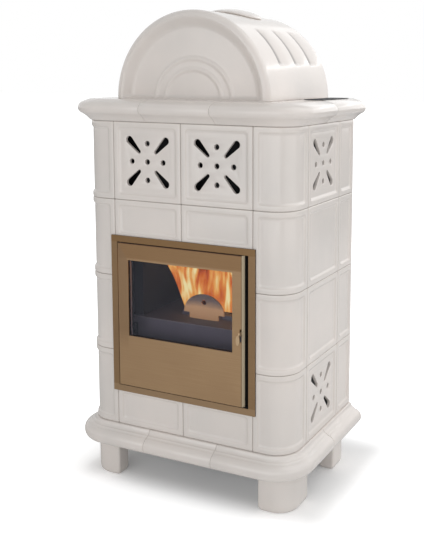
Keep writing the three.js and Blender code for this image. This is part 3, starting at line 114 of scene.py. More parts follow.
class Finish:
    """A material, or the sky, in the making: node() adds any node, end() joins the last one to the output."""

    def __init__(self, name, store="materials"):
        self.material = getattr(bpy.data, store).new(name)
        self.material.use_nodes = True
        self.tree = self.material.node_tree
        self.tree.nodes.clear()
        self.place = self.node("ShaderNodeTexCoord", out="Object")

    def node(self, kind, settings=None, sockets=None, out=0):
        made = self.tree.nodes.new(kind)
        for name, value in (settings or {}).items():
            if name == "stops":
                self.set_stops(made.color_ramp, value)
            else:
                setattr(made, name, value)
        for name, value in (sockets or {}).items():
            if isinstance(value, Wire):
                self.tree.links.new(value.socket, made.inputs[name])
            else:
                made.inputs[name].default_value = value
        return Wire(self, made.outputs[out]) if made.outputs else None

    def set_stops(self, ramp, stops):
        while len(ramp.elements) < len(stops):
            ramp.elements.new(0.5)
        for element, (position, colour) in zip(ramp.elements, stops):
            element.position = position
            element.color = colour

    def end(self, shader, output="ShaderNodeOutputMaterial"):
        self.node(output, sockets={"Surface": shader})
        return self.material

    def surface(self, **sockets):
        """Ends the material with the main shader; socket names are written with underscores."""
        named = {name.replace("_", " "): value for name, value in sockets.items()}
        return self.end(self.node("ShaderNodeBsdfPrincipled", sockets=named))

    def numbers(self, operation, first, second):
        return self.node("ShaderNodeMath", {"operation": operation}, {0: first, 1: second})

    def vectors(self, operation, first, second=(0, 0, 0), out=0):
        return self.node("ShaderNodeVectorMath", {"operation": operation}, {0: first, 1: second}, out)

    def stretched(self, x, y, z):
        """Object coordinates, multiplied along the axes by the given scales."""
        return self.node("ShaderNodeMapping", sockets={"Vector": self.place, "Scale": (x, y, z)})

    def noise(self, scale, detail=2.0, roughness=0.5, at=None):
        sockets = {"Vector": at or self.place, "Scale": scale, "Detail": detail, "Roughness": roughness}
        return self.node("ShaderNodeTexNoise", sockets=sockets)

    def ramp(self, factor, *stops):
        return self.node("ShaderNodeValToRGB", {"stops": stops}, {0: factor})

    def step(self, value, low, high):
        """0 up to low, 1 from high on, and even between; low may be the larger of the two."""
        return self.node("ShaderNodeMapRange", sockets={0: value, 1: low, 2: high})

    def mix(self, factor, first, second):
        return self.node("ShaderNodeMix", {"data_type": "RGBA"}, {0: factor, 6: first, 7: second}, out=2)

    def blend(self, share, first, second):
        """Two shaders in one: the first at share 0, the second at 1."""
        return self.node("ShaderNodeMixShader", sockets={0: share, 1: first, 2: second})

    def bump(self, height, distance, strength=1.0):
        sockets = {"Height": height, "Distance": distance, "Strength": strength}
        return self.node("ShaderNodeBump", sockets=sockets)

    def attribute(self, name):
        """A value that the mesh carries at its points."""
        return self.node("ShaderNodeAttribute", {"attribute_name": name}, out="Fac")

    def axis(self, name):
        """How far a place lies along X, Y or Z, in metres."""
        return self.node("ShaderNodeSeparateXYZ", sockets={"Vector": self.place}, out=name)

    def shade(self, tone, axis, low, high, amount, colour):
        """The tone, turned towards a colour by an amount that steps up from low to high along an axis."""
        return self.mix(self.step(self.axis(axis), low, high) * amount, tone, linear(*colour))


GLAZE_TONE = linear(230, 222, 216)
GLAZE_POOL = linear(220, 214, 209)
GLAZE_FIRED = linear(216, 211, 206)
GLAZE_FLUTE_SHADE = linear(150, 146, 144)
GLAZE_THIN = linear(205, 194, 184)
TILE_MODULE = 220.0
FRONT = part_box("corner_tile_1_right")[0].y  # the tile face, in metres
FOOT_JOINT = 0.0003  # the joint under the lowest tiles, in metres
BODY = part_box("base_moulding_front")[1].z + FOOT_JOINT  # the foot of the tiles, in metres


def glaze(name, per_tile):
    """Clouds of the pooled tone; over them a shade for each tile, specks, thin edges, and painted shade with
    pooled glaze in flutes.
    """
    finish = Finish(name)
    cloud = finish.noise(3.5, 3.0, 0.55)
    tone = finish.mix(finish.step(cloud, 0.35, 0.65), GLAZE_TONE, GLAZE_POOL)
    if per_tile:
        module = TILE_MODULE * 0.001
        from_corner = finish.vectors("ADD", finish.place, (0.0, -FRONT + module / 2, -BODY))
        tile_number = finish.vectors("SNAP", from_corner, (module, module, module))
        fired = finish.node("ShaderNodeTexWhiteNoise", {"noise_dimensions": "3D"}, {"Vector": tile_number})
        tone = finish.mix(fired * 0.35, tone, GLAZE_FIRED)
    speck = finish.noise(900.0, 1.0)
    tone = finish.mix(finish.step(speck, 0.70, 0.78) * 0.3, tone, GLAZE_THIN)
    tone = finish.mix(finish.attribute("thin") * 0.5, tone, GLAZE_THIN)
    # painted shade: the hood's flutes are darkened behind their front walls, with some pooled glaze
    tone = finish.mix(finish.attribute("deep"), tone, GLAZE_FLUTE_SHADE)
    dimple = finish.noise(320.0) * 0.12 + finish.noise(26.0)
    return finish.surface(
        Base_Color=tone,
        Roughness=finish.noise(14.0, 3.0) * 0.08 + 0.15,
        IOR=1.52,
        Coat_Weight=0.3,
        Coat_Roughness=0.09,
        Normal=finish.bump(dimple, 0.0011, 0.5),
    )


tile_glaze = glaze("tile_glaze", True)
moulding_glaze = glaze("moulding_glaze", False)

# ---- The wall line ------------------------------------------------------------------------------
# The tiles stand on one line in plan: a straight front, a quarter round at each corner, a straight side.
# A place on it is a run from the middle of the front, and how far it stands out from the tile face.


def corners(node):
    """The lowest and highest corner of a CAD node in millimetres, with Y from the tile face."""
    return [np.array(corner) * 1000 - (0.0, FRONT * 1000, 0.0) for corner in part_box(node)]


HALF_WIDTH = corners("side_tile_1_right")[1][0]
DEPTH = 440.0
CORNER = 70.0  # radius of the tile face
FLAT = HALF_WIDTH - CORNER
ARC = CORNER * math.pi / 2
GAP = 0.4  # half a joint


def wall(run, out):
    """Plan points: along X, then round a quarter circle of the corner radius plus out, then along Y."""
    run, out = np.broadcast_arrays(np.asarray(run, float), np.asarray(out, float))
    turn = np.clip((run - FLAT) / CORNER, 0, math.pi / 2)
    x = np.minimum(run, FLAT) + (CORNER + out) * np.sin(turn)
    y = CORNER - (CORNER + out) * np.cos(turn) + np.maximum(run - FLAT - ARC, 0)
    return x, y


def side_run(y):
    """The run of a place on the straight side."""
    return FLAT + ARC + y - CORNER


def on_wall(run, out, z):
    """Points in space: places on the wall line, at a height."""
    x, y = wall(run, out)
    return np.stack(np.broadcast_arrays(x, y, z), axis=-1)


ROUND_STOPS = np.linspace(FLAT, FLAT + ARC, 19)


def stops_between(start, end):
    """The runs at which a piece on the round is divided."""
    return ROUND_STOPS[(ROUND_STOPS > start + 0.5) & (ROUND_STOPS < end - 0.5)]


# ---- Tiles --------------------------------------------------------------------------------------
# Pressed ceramic tiles: a flat rim, a soft bevel and a sunk field, eighteen millimetres thick.
# The surface is a stack of rounded rectangles, each set in from the edge and raised or sunk.
TILE_BACK = -18.0
SUNK = 4.0
PRESSED = (  # how far in from the edge, how far out from the face, corner radius
    (0.6, TILE_BACK, 1.5),
    (0.05, -17.4, 2),
    (0, -16, 2.5),
    (0, -2.4, 2.5),
    (0.2, -1.3, 2.7),
    (0.7, -0.45, 3),
    (1.5, 0, 3.5),
    (3.5, 0.3, 5),
    (8, 0.4, 7),
    (12, 0.3, 8),
    (14, 0, 8.5),
    (15.4, -0.6, 8.5),
    (17, -1.9, 8),
    (19, -3.3, 7.5),
    (20.6, -4.05, 7),
    (22.2, -4.35, 6.5),
    (24.5, -4.25, 6),
    (28, -4.0, 5),
)


def circle(turn):
    """Places on a circle of radius 1, each at its angle."""
    return np.stack([np.cos(turn), np.sin(turn)], axis=-1)


def quarter(steps, first=0.0, last=math.pi / 2):
    """A quarter round of radius 1 in a square corner: how far each place lies from its two sides."""
    return 1 - circle(np.linspace(first, last, steps))


def tile_outline(start, end, low, high, inset, radius):
    """A rounded rectangle as runs and heights: the lower half from the left, the upper from the right."""
    across, up = (radius * quarter(6)).T
    stops = stops_between(start + inset + radius, end - inset - radius)
    rising = low + inset + up
    run = np.concatenate([start + inset + across, stops, end - inset - across[::-1]])
    z = np.concatenate([rising, np.full(len(stops), low + inset), rising[::-1]])
    return np.concatenate([run, run[::-1]]), np.concatenate([z, low + high - z[::-1]])


def tile_rings(start, end, low, high, profile):
    """One rounded rectangle on the wall line for each step of the profile."""
    rings = []
    for inset, out, radius in profile:
        run, z = tile_outline(start, end, low, high, inset, radius)
        rings.append(on_wall(run, out, z))
    return np.array(rings)


def skin(rings, around=True):
    """Quads over a grid of points: each ring is joined to the next, and to itself if it runs around."""
    rings = np.asarray(rings, float)
    lines, count = rings.shape[:2]
    row = np.arange(lines - 1)[:, None] * count
    column = np.arange(count if around else count - 1)[None, :]
    after = (column + 1) % count
    quads = np.stack([row + column, row + after, row + count + after, row + count + column], axis=-1)
    return rings.reshape(-1, 3), quads.reshape(-1, 4).tolist()


def gather(*parts):
    """Several (points, faces) pairs as one."""
    points, faces, start = [], [], 0
    for some_points, some_faces in parts:
        points.append(np.asarray(some_points, float).reshape(-1, 3))
        faces += [[start + index for index in face] for face in some_faces]
        start += len(points[-1])
    return np.concatenate(points), faces


def strips(ring):
    """Closes a ring with upright strips from its lower half to its upper half."""
    half = len(ring) // 2
    left = np.arange(half - 1)
    quads = np.stack([left, left + 1, 2 * half - 2 - left, 2 * half - 1 - left], axis=-1)
    return ring, quads.tolist()


def plain_tile(start, end, low, high):
    """The tile's rings, from the rear over the face to the field, closed by strips at both ends."""
    rings = tile_rings(start + GAP, end - GAP, low + GAP, high - GAP, PRESSED)
    return gather(skin(rings), strips(rings[-1]), strips(rings[0]))


# Pierced tiles: five round holes and four drops on the diagonals, cut while the clay is soft, so each edge is
# round. A drop is two arcs about the tile's diagonal, one near its middle and one far, and their tangents.
HOLE_RADIUS = 7.6
HOLE_PITCH = 51.0
HOLE_ROUND = 1.6
DROP_SMALL, DROP_LARGE = 5.2, 10.6
DROP_NEAR, DROP_FAR = 39.0, 84.0
FIELD_BACK = -12.8  # rear face of the pierced field
BEHIND = ((17.0, FIELD_BACK, 2), (16.0, -14.5, 2), (14.5, TILE_BACK, 2))  # the step behind the field


def hole_outlines(grow):
    """The nine outlines round the tile's middle, each grown by one amount."""
    disc = (HOLE_RADIUS + grow) * circle(np.linspace(0, 2 * math.pi, 24, endpoint=False))
    spots = HOLE_PITCH * np.array([(0, 0), (1, 0), (-1, 0), (0, 1), (0, -1)])
    tangent = math.pi / 2 + math.asin((DROP_LARGE - DROP_SMALL) / (DROP_FAR - DROP_NEAR))
    far = (DROP_LARGE + grow) * circle(np.linspace(-tangent, tangent, 15)) + (DROP_FAR, 0)
    near = (DROP_SMALL + grow) * circle(np.linspace(tangent, 2 * math.pi - tangent, 9)) + (DROP_NEAR, 0)
    drops = []
    for diagonal in math.pi / 4 * np.array([1, 3, 5, 7]):
        drops.append(np.vstack([far, near]) @ [circle(diagonal), circle(diagonal + math.pi / 2)])
    return [disc + spot for spot in spots] + drops


def sheet_with_holes(outer, holes, out):
    """A flat sheet at one height between an outer outline and its holes, all given as runs and heights."""
    loops = [outer, *holes]
    flat = [[Vector((x, z, 0)) for x, z in loop] for loop in loops]
    faces = [list(face) for face in tessellate_polygon(flat)]
    places = np.vstack(loops)
    return on_wall(places[:, 0], out, places[:, 1]), faces


def pierced_tile(start, end, low, high):
    """The tile's rings, a round-edged tube for each hole, and the sunk field's front and rear sheets."""
    start, end, low, high = start + GAP, end - GAP, low + GAP, high - GAP
    middle = np.array([(start + end) / 2, (low + high) / 2])
    parts = [skin(tile_rings(start, end, low, high, BEHIND + PRESSED))]
    levels = [(grow, -SUNK - back) for back, grow in HOLE_ROUND * quarter(5)]
    levels.append((0.0, FIELD_BACK))
    grown = [[outline + middle for outline in hole_outlines(grow)] for grow, _ in levels]
    for outlines in zip(*grown):
        tube = [on_wall(line[:, 0], out, line[:, 1]) for line, (_, out) in zip(outlines, levels)]
        parts.append(skin(tube))
    sheets = ((PRESSED[-1], grown[0], -SUNK), (BEHIND[0], grown[-1], FIELD_BACK))
    for (inset, _, radius), outlines, out in sheets:
        outer = np.column_stack(tile_outline(start, end, low, high, inset, radius))
        parts.append(sheet_with_holes(outer, outlines, out))
    return gather(*parts)


BODY_Z = BODY * 1000
ROWS = [BODY_Z + TILE_MODULE * row for row in range(5)]
ROW_SPANS = list(zip(ROWS, ROWS[1:]))
HALF = TILE_MODULE / 2


def glaze_thin(points):
    """1 where the glaze draws thin: on the rounded outer edge and along the upper edge of the bevel."""
    x, y = np.abs(points[:, 0]), points[:, 1]
    out = np.where(y >= CORNER, x - HALF_WIDTH, np.hypot(np.maximum(x - FLAT, 0), y - CORNER) - CORNER)
    return np.clip(1 - np.abs(out + 0.9) / 1.1, 0, 1)


def placed(points):
    """Millimetres on the stove's own axes (tile face at Y 0, floor at Z 0) to metres in the frame."""
    return np.asarray(points, float) * 0.001 + (0.0, FRONT, 0.0)


SHARP_ANGLE = 38.0  # degrees; a steeper edge isn't shaded smooth


def tidy_mesh(mesh, distance):
    """Merges points that lie together, removes faces without area and turns every face outwards."""
    shape = bmesh.new()
    shape.from_mesh(mesh)
    bmesh.ops.remove_doubles(shape, verts=shape.verts, dist=distance)
    bmesh.ops.dissolve_degenerate(shape, edges=shape.edges, dist=distance * 0.5)
    bmesh.ops.recalc_face_normals(shape, faces=shape.faces)
    shape.to_mesh(mesh)
    shape.free()


def piece(name, part, material, body="stove", instead=None, weld=0.02, values=None):
    """A named piece of (points, faces) in millimetres: welded, facing out and smooth between sharp edges."""
    points, faces = part
    mesh = bpy.data.meshes.new(name)
    mesh.from_pydata(placed(points).tolist(), [], faces)
    for attribute, value in (values or {}).items():
        mesh.attributes.new(attribute, "FLOAT", "POINT").data.foreach_set("value", value(points))
    tidy_mesh(mesh, weld * 0.001)
    mesh.shade_smooth()
    mesh.set_sharp_from_angle(angle=math.radians(SHARP_ANGLE))
    mesh.materials.append(material)
    made = added(name, mesh)
    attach(made, body)
    if instead:
        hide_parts(instead)
    return made


def turned_over(part):
    """The same part on the other side of the stove."""
    points, faces = part
    return points * (-1.0, 1.0, 1.0), [face[::-1] for face in faces]


def add_pair(node, part, material, values=None):
    """The piece on the right and its mirror image on the left, each in place of its own solid."""
    for side, shape in (("right", part), ("left", turned_over(part))):
        piece(f"{node}_glazed_{side}", shape, material, instead=f"{node}_{side}", values=values)


def add_tile_pair(node, part):
    add_pair(node, part, tile_glaze, {"thin": glaze_thin})


for number, span in enumerate(ROW_SPANS, 1):
    add_tile_pair(f"corner_tile_{number}", plain_tile(TILE_MODULE, side_run(HALF), *span))
    make = pierced_tile if number in (1, 4) else plain_tile
    add_tile_pair(f"side_tile_{number}", make(side_run(HALF), side_run(HALF + TILE_MODULE), *span))

add_tile_pair("front_tile_top", pierced_tile(0, TILE_MODULE, ROWS[3], ROWS[4]))
add_tile_pair("front_tile_over_door", plain_tile(0, TILE_MODULE, ROWS[2] + HALF, ROWS[3]))
add_tile_pair("front_tile_under_door", plain_tile(0, TILE_MODULE, ROWS[0], ROWS[0] + HALF))

# The rear half tiles of a side, one above the other.
REAR_END = side_run(DEPTH)
rear_tiles = [plain_tile(side_run(HALF + TILE_MODULE), REAR_END, *span) for span in ROW_SPANS]
add_tile_pair("rear_tile_column", gather(*rear_tiles))

# ---- Joint grout --------------------------------------------------------------------------------
# Grey stove cement fills the joints between the tiles. It is pressed in from the front and wiped, so it
# lies a little below their faces.
GROUT_OUT = -1.3  # from the tile face
GROUT_HALF = 0.35  # half its width


def cement():
    """Fine grain between two greys."""
    finish = Finish("stove_cement")
    grain = finish.noise(700.0, 3.0)
    tone = finish.ramp(grain, (0.3, linear(140, 133, 127)), (0.7, linear(172, 164, 157)))
    return finish.surface(Base_Color=tone, Roughness=0.9, Normal=finish.bump(grain, 0.0003))


def capped(rings):
    """Rings joined to a skin and closed by a flat face at both ends."""
    face = [list(range(len(rings[0])))]
    return gather(skin(rings), (rings[0], face), (rings[-1], face))


def grout_bar(start, end, low, high):
    """A bar along the wall line, from a little below the tile face to a little before the tile's rear."""
    run = np.unique([start, end, *stops_between(start, end)])
    section = [(GROUT_OUT, low), (GROUT_OUT, high), (TILE_BACK + 1, high), (TILE_BACK + 1, low)]
    return capped(np.array([[on_wall(stop, out, z) for out, z in section] for stop in run]))


def upright_bar(run, span):
    """A bar up the joint at one run."""
    return grout_bar(run - GROUT_HALF, run + GROUT_HALF, *span)


stove_cement = cement()
level_joints = [(TILE_MODULE + 0.5, REAR_END - 0.5, z) for z in ROWS[1:4]]
level_joints.append((0.0, TILE_MODULE - 0.5, ROWS[3]))
side_spans = [(low + 1, high - 1) for low, high in ROW_SPANS]
front_spans = [(ROWS[3] + 1, ROWS[4] - 1), (ROWS[2] + HALF, ROWS[3] - 1), (ROWS[0] + 1, ROWS[0] + HALF)]
bars = [grout_bar(start, end, z - GROUT_HALF, z + GROUT_HALF) for start, end, z in level_joints]
bars += [upright_bar(side_run(y), span) for y in (HALF, HALF + TILE_MODULE) for span in side_spans]
bars += [upright_bar(TILE_MODULE, span) for span in front_spans]
right_grout = gather(*bars)
middle_grout = [upright_bar(0.0, span) for span in front_spans]
piece("joint_cement", gather(right_grout, turned_over(right_grout), *middle_grout), stove_cement, weld=0.005)

# ---- Mouldings ----------------------------------------------------------------------------------
# The plinth under the tiles and the cornice over them are pressed lengths of one rolled profile each. A
# profile of (out, up) points is smoothed and carried along the wall line; its cut ends are drawn round, and
# cement fills the joints between the lengths.
MOULDING_BACK = -26.0
FOOT_Z = corners("base_moulding_front")[0][2]
TOP_Z = corners("cornice_front")[1][2]
SPLIT = side_run(TILE_MODULE)


def smooth_line(points):
    """A Catmull-Rom curve through points: each stretch is a cubic of its two ends and their neighbours."""
    given = np.asarray(points, float)
    ends = np.vstack([2 * given[0] - given[1], given, 2 * given[-1] - given[-2]])
    share = np.linspace(0, 1, 4, endpoint=False)[:, None]
    curve = []
    for a, b, c, d in zip(ends, ends[1:], ends[2:], ends[3:]):
        bend = (2 * a - 5 * b + 4 * c - d) + share * (3 * (b - c) + d - a)
        curve.append(b + 0.5 * share * ((c - a) + share * bend))
    return np.vstack([*curve, given[-1:]])


END_ROUND = ((0.0, 1.1), (0.25, 0.6), (0.8, 0.2), (1.8, 0.0))  # from the cut end, and how far drawn in there
CEMENT_IN = 1.3  # how far the joint's cement lies below the profile
CEMENT_HALF = 0.45  # half its width
PLINTH = np.vstack([
    [(MOULDING_BACK, 0.0), (20, 0.0)],
    smooth_line([
        (29, 0.3), (33.5, 1.2), (36.5, 4), (39, 9), (40, 14),
        (40, 21), (38.6, 27), (35.2, 32), (31, 35.4), (27, 37.8),
    ]),
    smooth_line([(26.2, 38.6), (22, 40.2), (18.6, 42.2), (16.6, 44.2)]),
    smooth_line([(15.6, 44.4), (11.5, 46.2), (8.2, 49.6), (6.4, 53.2), (5.2, 56.4), (3.4, 57.4)]),
    [(-2, 57.7), (MOULDING_BACK, 57.7)],
])
CORNICE = np.vstack([
    [(MOULDING_BACK, 0.3)],
    smooth_line([
        (1.5, 0.4), (3.6, 0.9), (5.6, 2.6), (8.4, 5.2), (12.5, 9.6), (18, 14.2), (25.5, 19),
        (32, 23), (36, 27.6), (37.8, 33), (37.8, 38.4), (36, 44), (32.2, 49),
        (26.5, 53), (19, 56.2), (11, 59), (4, 61), (-4, 61.9), (-12, 62),
    ]),
    [(MOULDING_BACK, 62.0)],
])


def section_at(profile, run, z, amount):
    """The profile at one run, moved inwards by an amount along its normals, apart from the flat back."""
    along = np.gradient(profile, axis=0)
    normal = np.stack([along[:, 1], -along[:, 0]], axis=-1)
    normal /= np.maximum(np.linalg.norm(normal, axis=1, keepdims=True), 1e-6)
    shown = profile[:, :1] > MOULDING_BACK + 5
    line = profile - normal * amount * shown
    return on_wall(run, line[:, 0], z + line[:, 1])


def moulding(profile, start, end, z, back=MOULDING_BACK):
    """The profile carried from one run to another, with both ends rounded over two millimetres."""
    shape = np.where(profile == MOULDING_BACK, back, profile)
    first = [(start + step, amount) for step, amount in END_ROUND]
    last = [(end - step, amount) for step, amount in reversed(END_ROUND)]
    between = [(stop, 0.0) for stop in stops_between(start + 2, end - 2)]
    return capped([section_at(shape, run, z, amount) for run, amount in first + between + last])


front_length = moulding(PLINTH, -HALF + GAP, HALF - GAP, FOOT_Z)
piece("plinth_front_glazed", front_length, moulding_glaze, instead="base_moulding_front")
add_pair("base_moulding_corner", moulding(PLINTH, HALF + GAP, SPLIT - GAP, FOOT_Z), moulding_glaze)
add_pair("base_moulding_side", moulding(PLINTH, SPLIT + GAP, REAR_END, FOOT_Z), moulding_glaze)

slices = []
for profile, z in ((PLINTH, FOOT_Z), (CORNICE, ROWS[4])):
    for run in (HALF, SPLIT):
        ends = (run - CEMENT_HALF, run + CEMENT_HALF)
        slices.append(capped([section_at(profile, end, z, CEMENT_IN) for end in ends]))
right_slices = gather(*slices)
piece("moulding_cement", gather(right_slices, turned_over(right_slices)), stove_cement, weld=0.005)

# The cornice's top is flat and reaches in under the hood; each side has an opening for a vent behind the
# joint.
PLATE = 14.0  # thickness
PLATE_INNER = 124.0  # how far it reaches in from the tile face
INNER_X = HALF_WIDTH - PLATE_INNER
FLANGE = 4.0
vent_low, vent_high = corners("vent_grille_right")
VENT_X0, VENT_Y0 = vent_low[:2] + FLANGE
VENT_X1, VENT_Y1 = vent_high[:2] - FLANGE


def at_height(plan, z):
    """Plan points at one height."""
    return np.column_stack([plan, np.full(len(plan), z)])


def plate(outline):
    """A flat plate from its outline in plan."""
    return capped([at_height(outline, z) for z in (TOP_Z - PLATE, TOP_Z)])


def square_plate(x0, x1, y0, y1):
    """A plate over a rectangle in plan."""
    return plate([(x0, y0), (x1, y0), (x1, y1), (x0, y1)])


def corner_plate(start, end):
    """A plate whose outer edge follows the wall line, and whose inner edge is an angle."""
    outer = wall([start, *stops_between(start, end), end], MOULDING_BACK)
    inner = [(INNER_X, TILE_MODULE - GAP), (INNER_X, PLATE_INNER), (start, PLATE_INNER)]
    return plate(np.vstack([np.column_stack(outer), inner]))


front_length = moulding(CORNICE, -HALF + GAP, HALF - GAP, ROWS[4])
front_plate = square_plate(-HALF + GAP, HALF - GAP, -MOULDING_BACK, PLATE_INNER)
piece("cornice_front_glazed", gather(front_length, front_plate), moulding_glaze, instead="cornice_front")
corner_ends = (HALF + GAP, SPLIT - GAP)
corner_length = moulding(CORNICE, *corner_ends, ROWS[4])
add_pair("cornice_corner", gather(corner_length, corner_plate(*corner_ends)), moulding_glaze)
side_length = gather(
    moulding(CORNICE, SPLIT + GAP, REAR_END, ROWS[4], VENT_X1 - HALF_WIDTH),
    square_plate(INNER_X, VENT_X1, TILE_MODULE + GAP, VENT_Y0),
    square_plate(INNER_X, VENT_X1, VENT_Y1, DEPTH),
    square_plate(INNER_X, VENT_X0, VENT_Y0, VENT_Y1),
)
add_pair("cornice_side", side_length, moulding_glaze)

# ---- Feet ---------------------------------------------------------------------------------------
# Four cast ceramic feet, each two thick legs round a corner. The outer corner follows the wall line, the
# notch between the legs faces the middle of the stove, and the lower edge is rounded off.
FOOT_RADIUS = 62.0  # of the outer corner
FOOT_CORNER = 7.0  # radius of the others
FOOT_LEG = 48.0  # thickness of each leg
FOOT_ROUND = (16.0, 8.0)  # height over which the lower edge draws in, and how far


def rounded(outline):
    """An outline of (x, y, radius) square corners, each replaced by a quarter circle of its own radius."""
    places = np.array([corner[:2] for corner in outline], float)
    turn = np.linspace(0, math.pi / 2, 12)[:, None]
    line = []
    for index, (*_, radius) in enumerate(outline):
        here = places[index]
        back = places[index - 1] - here
        ahead = places[(index + 1) % len(places)] - here
        back, ahead = back / np.linalg.norm(back), ahead / np.linalg.norm(ahead)
        centre = here + radius * (back + ahead)
        line.append(centre - radius * (ahead * np.cos(turn) + back * np.sin(turn)))
    return np.vstack(line)


def foot():
    """Outlines of the two legs, one above the other, each drawn in by the rounding at its height."""
    (x0, y0, _), (x1, y1, top) = corners("front_foot_right")
    levels = [(0.0, FOOT_ROUND[1]), *(quarter(8, 0.25) * FOOT_ROUND)]
    levels += [(top - 1.2, 0.0), (top - 0.3, 0.3), (top, 1.2)]
    rings = []
    for z, draw in levels:
        outline = [
            (x0 + draw, y0 + draw, FOOT_CORNER),
            (x1 - draw, y0 + draw, FOOT_RADIUS - draw),
            (x1 - draw, y1 - draw, FOOT_CORNER),
            (x1 - FOOT_LEG + draw, y1 - draw, FOOT_CORNER),
            (x1 - FOOT_LEG + draw, y0 + FOOT_LEG - draw, FOOT_CORNER),
            (x0 + draw, y0 + FOOT_LEG - draw, FOOT_CORNER),
        ]
        rings.append(at_height(rounded(outline), z))
    return capped(rings)


front_foot = foot()
rear_foot = (front_foot[0] * (1, -1, 1) + (0, DEPTH, 0), [face[::-1] for face in front_foot[1]])
add_pair("front_foot", front_foot, moulding_glaze)
add_pair("rear_foot", rear_foot, moulding_glaze)

# ---- Hood ---------------------------------------------------------------------------------------
# A half barrel of glazed ceramic. Its front is a shallow dish with two raised arches, and each flank has
# three scooped flutes. The surface is a row of half rings, from the middle of the front over the barrel to
# the middle of the rear.
hood_low, hood_high = corners("hood")
lid_low, lid_high = corners("hood_lid")
HOOD_RADIUS = hood_high[0]
HOOD_Z = hood_low[2]
HOOD_FRONT, HOOD_REAR = hood_low[1], hood_high[1]
HOOD_WALL = 14.0
FRONT_ROUND, REAR_ROUND = 17.0, 12.0
DISH_DEPTH = 24.0
DISH_IN, DISH_OUT = 194.0, 229.0  # radii where the slope to the rim starts and ends
SILL = 12.0  # height over which the dish comes forward again at its foot
ARCHES = (89.5, 121.5)  # half the width of each raised arch at its foot
ARCH_STRETCH = 1.085  # an arch is this much wider than it is high
ARCH_HALF, ARCH_HEIGHT = 10.0, 3.4
FLUTES = (147.0, 249.0, 351.0)  # the front edge of each flute
FLUTE_WIDTH = 78.0
FLUTE_DEPTH = 8.5
FLUTE_FOOT = (22.8, 25.6)  # degrees up the flank where a flute begins, and where it is full
FLUTE_HEAD = (49.5, 53.5)  # where it starts to end, and where it has ended
LID_Y = (lid_low[1] + lid_high[1]) / 2
LID_HOLE = 70.0


def rise(value, low, high):
    """0 below low, 1 above high, and a smooth step between."""
    share = np.clip((value - low) / (high - low), 0, 1)
    return share * share * (3 - 2 * share)


def hood_front_depth(x, z):
    """How far the dish lies behind the rim: a smooth slope up to it, two round arches, a sill at the foot."""
    dish = DISH_DEPTH * (1 - rise(np.hypot(x, z), DISH_IN, DISH_OUT))
    arch = np.hypot(x, z * ARCH_STRETCH)
    for place in ARCHES:
        dish = dish - ARCH_HEIGHT * (1 - rise(np.abs(arch - place), 0.0, ARCH_HALF))
    return dish * np.sqrt(1 - (1 - np.clip(z / SILL, 0, 1)) ** 2)


def flute_depth(angle, y):
    """Scoops across the flank: a steep wall at the front edge, then a slope that fades to the rear."""
    up = np.degrees(np.minimum(angle, math.pi - angle))
    ends = rise(up, *FLUTE_FOOT) * (1 - rise(up, *FLUTE_HEAD))
    depth = 0.0
    for front in FLUTES:
        share = np.clip((y - front) / FLUTE_WIDTH, 0, 1)
        depth = depth + rise(share, 0.0, 0.06) * (1 - share) ** 1.9
    return FLUTE_DEPTH * ends * depth


def hood():
    """Half rings in order from the front's middle to the rear's, less the faces over the hole for the lid."""
    springing = np.radians([0, 0.25, 0.5, 0.8, 1.1, 1.5, 2, 2.6, 3.3, 4.2, 5.3, 6.6])
    flute_ends = np.radians([22.8, 23.4, 24.0, 24.6, 25.2, 25.8, 49.5, 50.5, 51.5, 52.5, 53.5])
    one_side = np.concatenate([springing, flute_ends])
    turn = np.concatenate([one_side, math.pi - one_side, np.radians(np.linspace(8.2, 171.8, 132))])
    turn = np.unique(turn.round(6))

    def half_ring(radius, y):
        places = np.broadcast_arrays(radius * np.cos(turn), y, HOOD_Z + radius * np.sin(turn))
        return np.stack(places, axis=-1)

    lines = []
    front_face = ((0, 60, 21), (63, 135, 50), (139, 186, 12), (190, 226, 16))  # first and last radius, number
    for radius in np.concatenate([np.linspace(*span) for span in front_face]):
        depth = hood_front_depth(radius * np.cos(turn), radius * np.sin(turn))
        lines.append(half_ring(radius, HOOD_FRONT + depth))
    front = [(HOOD_FRONT + back, HOOD_RADIUS - down) for back, down in FRONT_ROUND * quarter(8)]
    rear = [(HOOD_REAR - back, HOOD_RADIUS - down) for back, down in REAR_ROUND * quarter(8)[::-1]]
    near_walls = np.add.outer(FLUTES, (-0.6, 0, 0.8, 1.6, 2.4, 3.2, 4, 4.8, 6)).ravel()
    plain = np.arange(HOOD_FRONT + FRONT_ROUND + 3, HOOD_REAR - REAR_ROUND - 1, 3.0)
    barrel = [(y, HOOD_RADIUS) for y in np.unique(np.concatenate([plain, near_walls]))]
    rear_face = [(HOOD_REAR, radius) for radius in np.linspace(HOOD_RADIUS - REAR_ROUND - 8, 0, 12)]
    for y, radius in front + barrel + rear + rear_face:
        scoop = flute_depth(turn, y) if radius > HOOD_RADIUS - 1 else 0.0
        lines.append(half_ring(radius - scoop, y))
    points, faces = skin(lines, around=False)
    away = np.hypot(points[:, 0], points[:, 1] - LID_Y)
    hole = (points[:, 2] > HOOD_Z + HOOD_RADIUS * 0.8) & (away < LID_HOLE)
    faces = [face for face in faces if not hole[face].all()]
    used = np.zeros(len(points), bool)
    used[np.unique(faces)] = True
    rim = hole & used
    outwards = (points[rim][:, :2] - (0, LID_Y)) / away[rim][:, None]
    points[rim, :2] = outwards * LID_HOLE + (0, LID_Y)
    points[rim, 2] = HOOD_Z + np.sqrt(HOOD_RADIUS**2 - points[rim, 0] ** 2)
    order = np.cumsum(used) - 1
    return points[used], order[np.array(faces)].tolist()


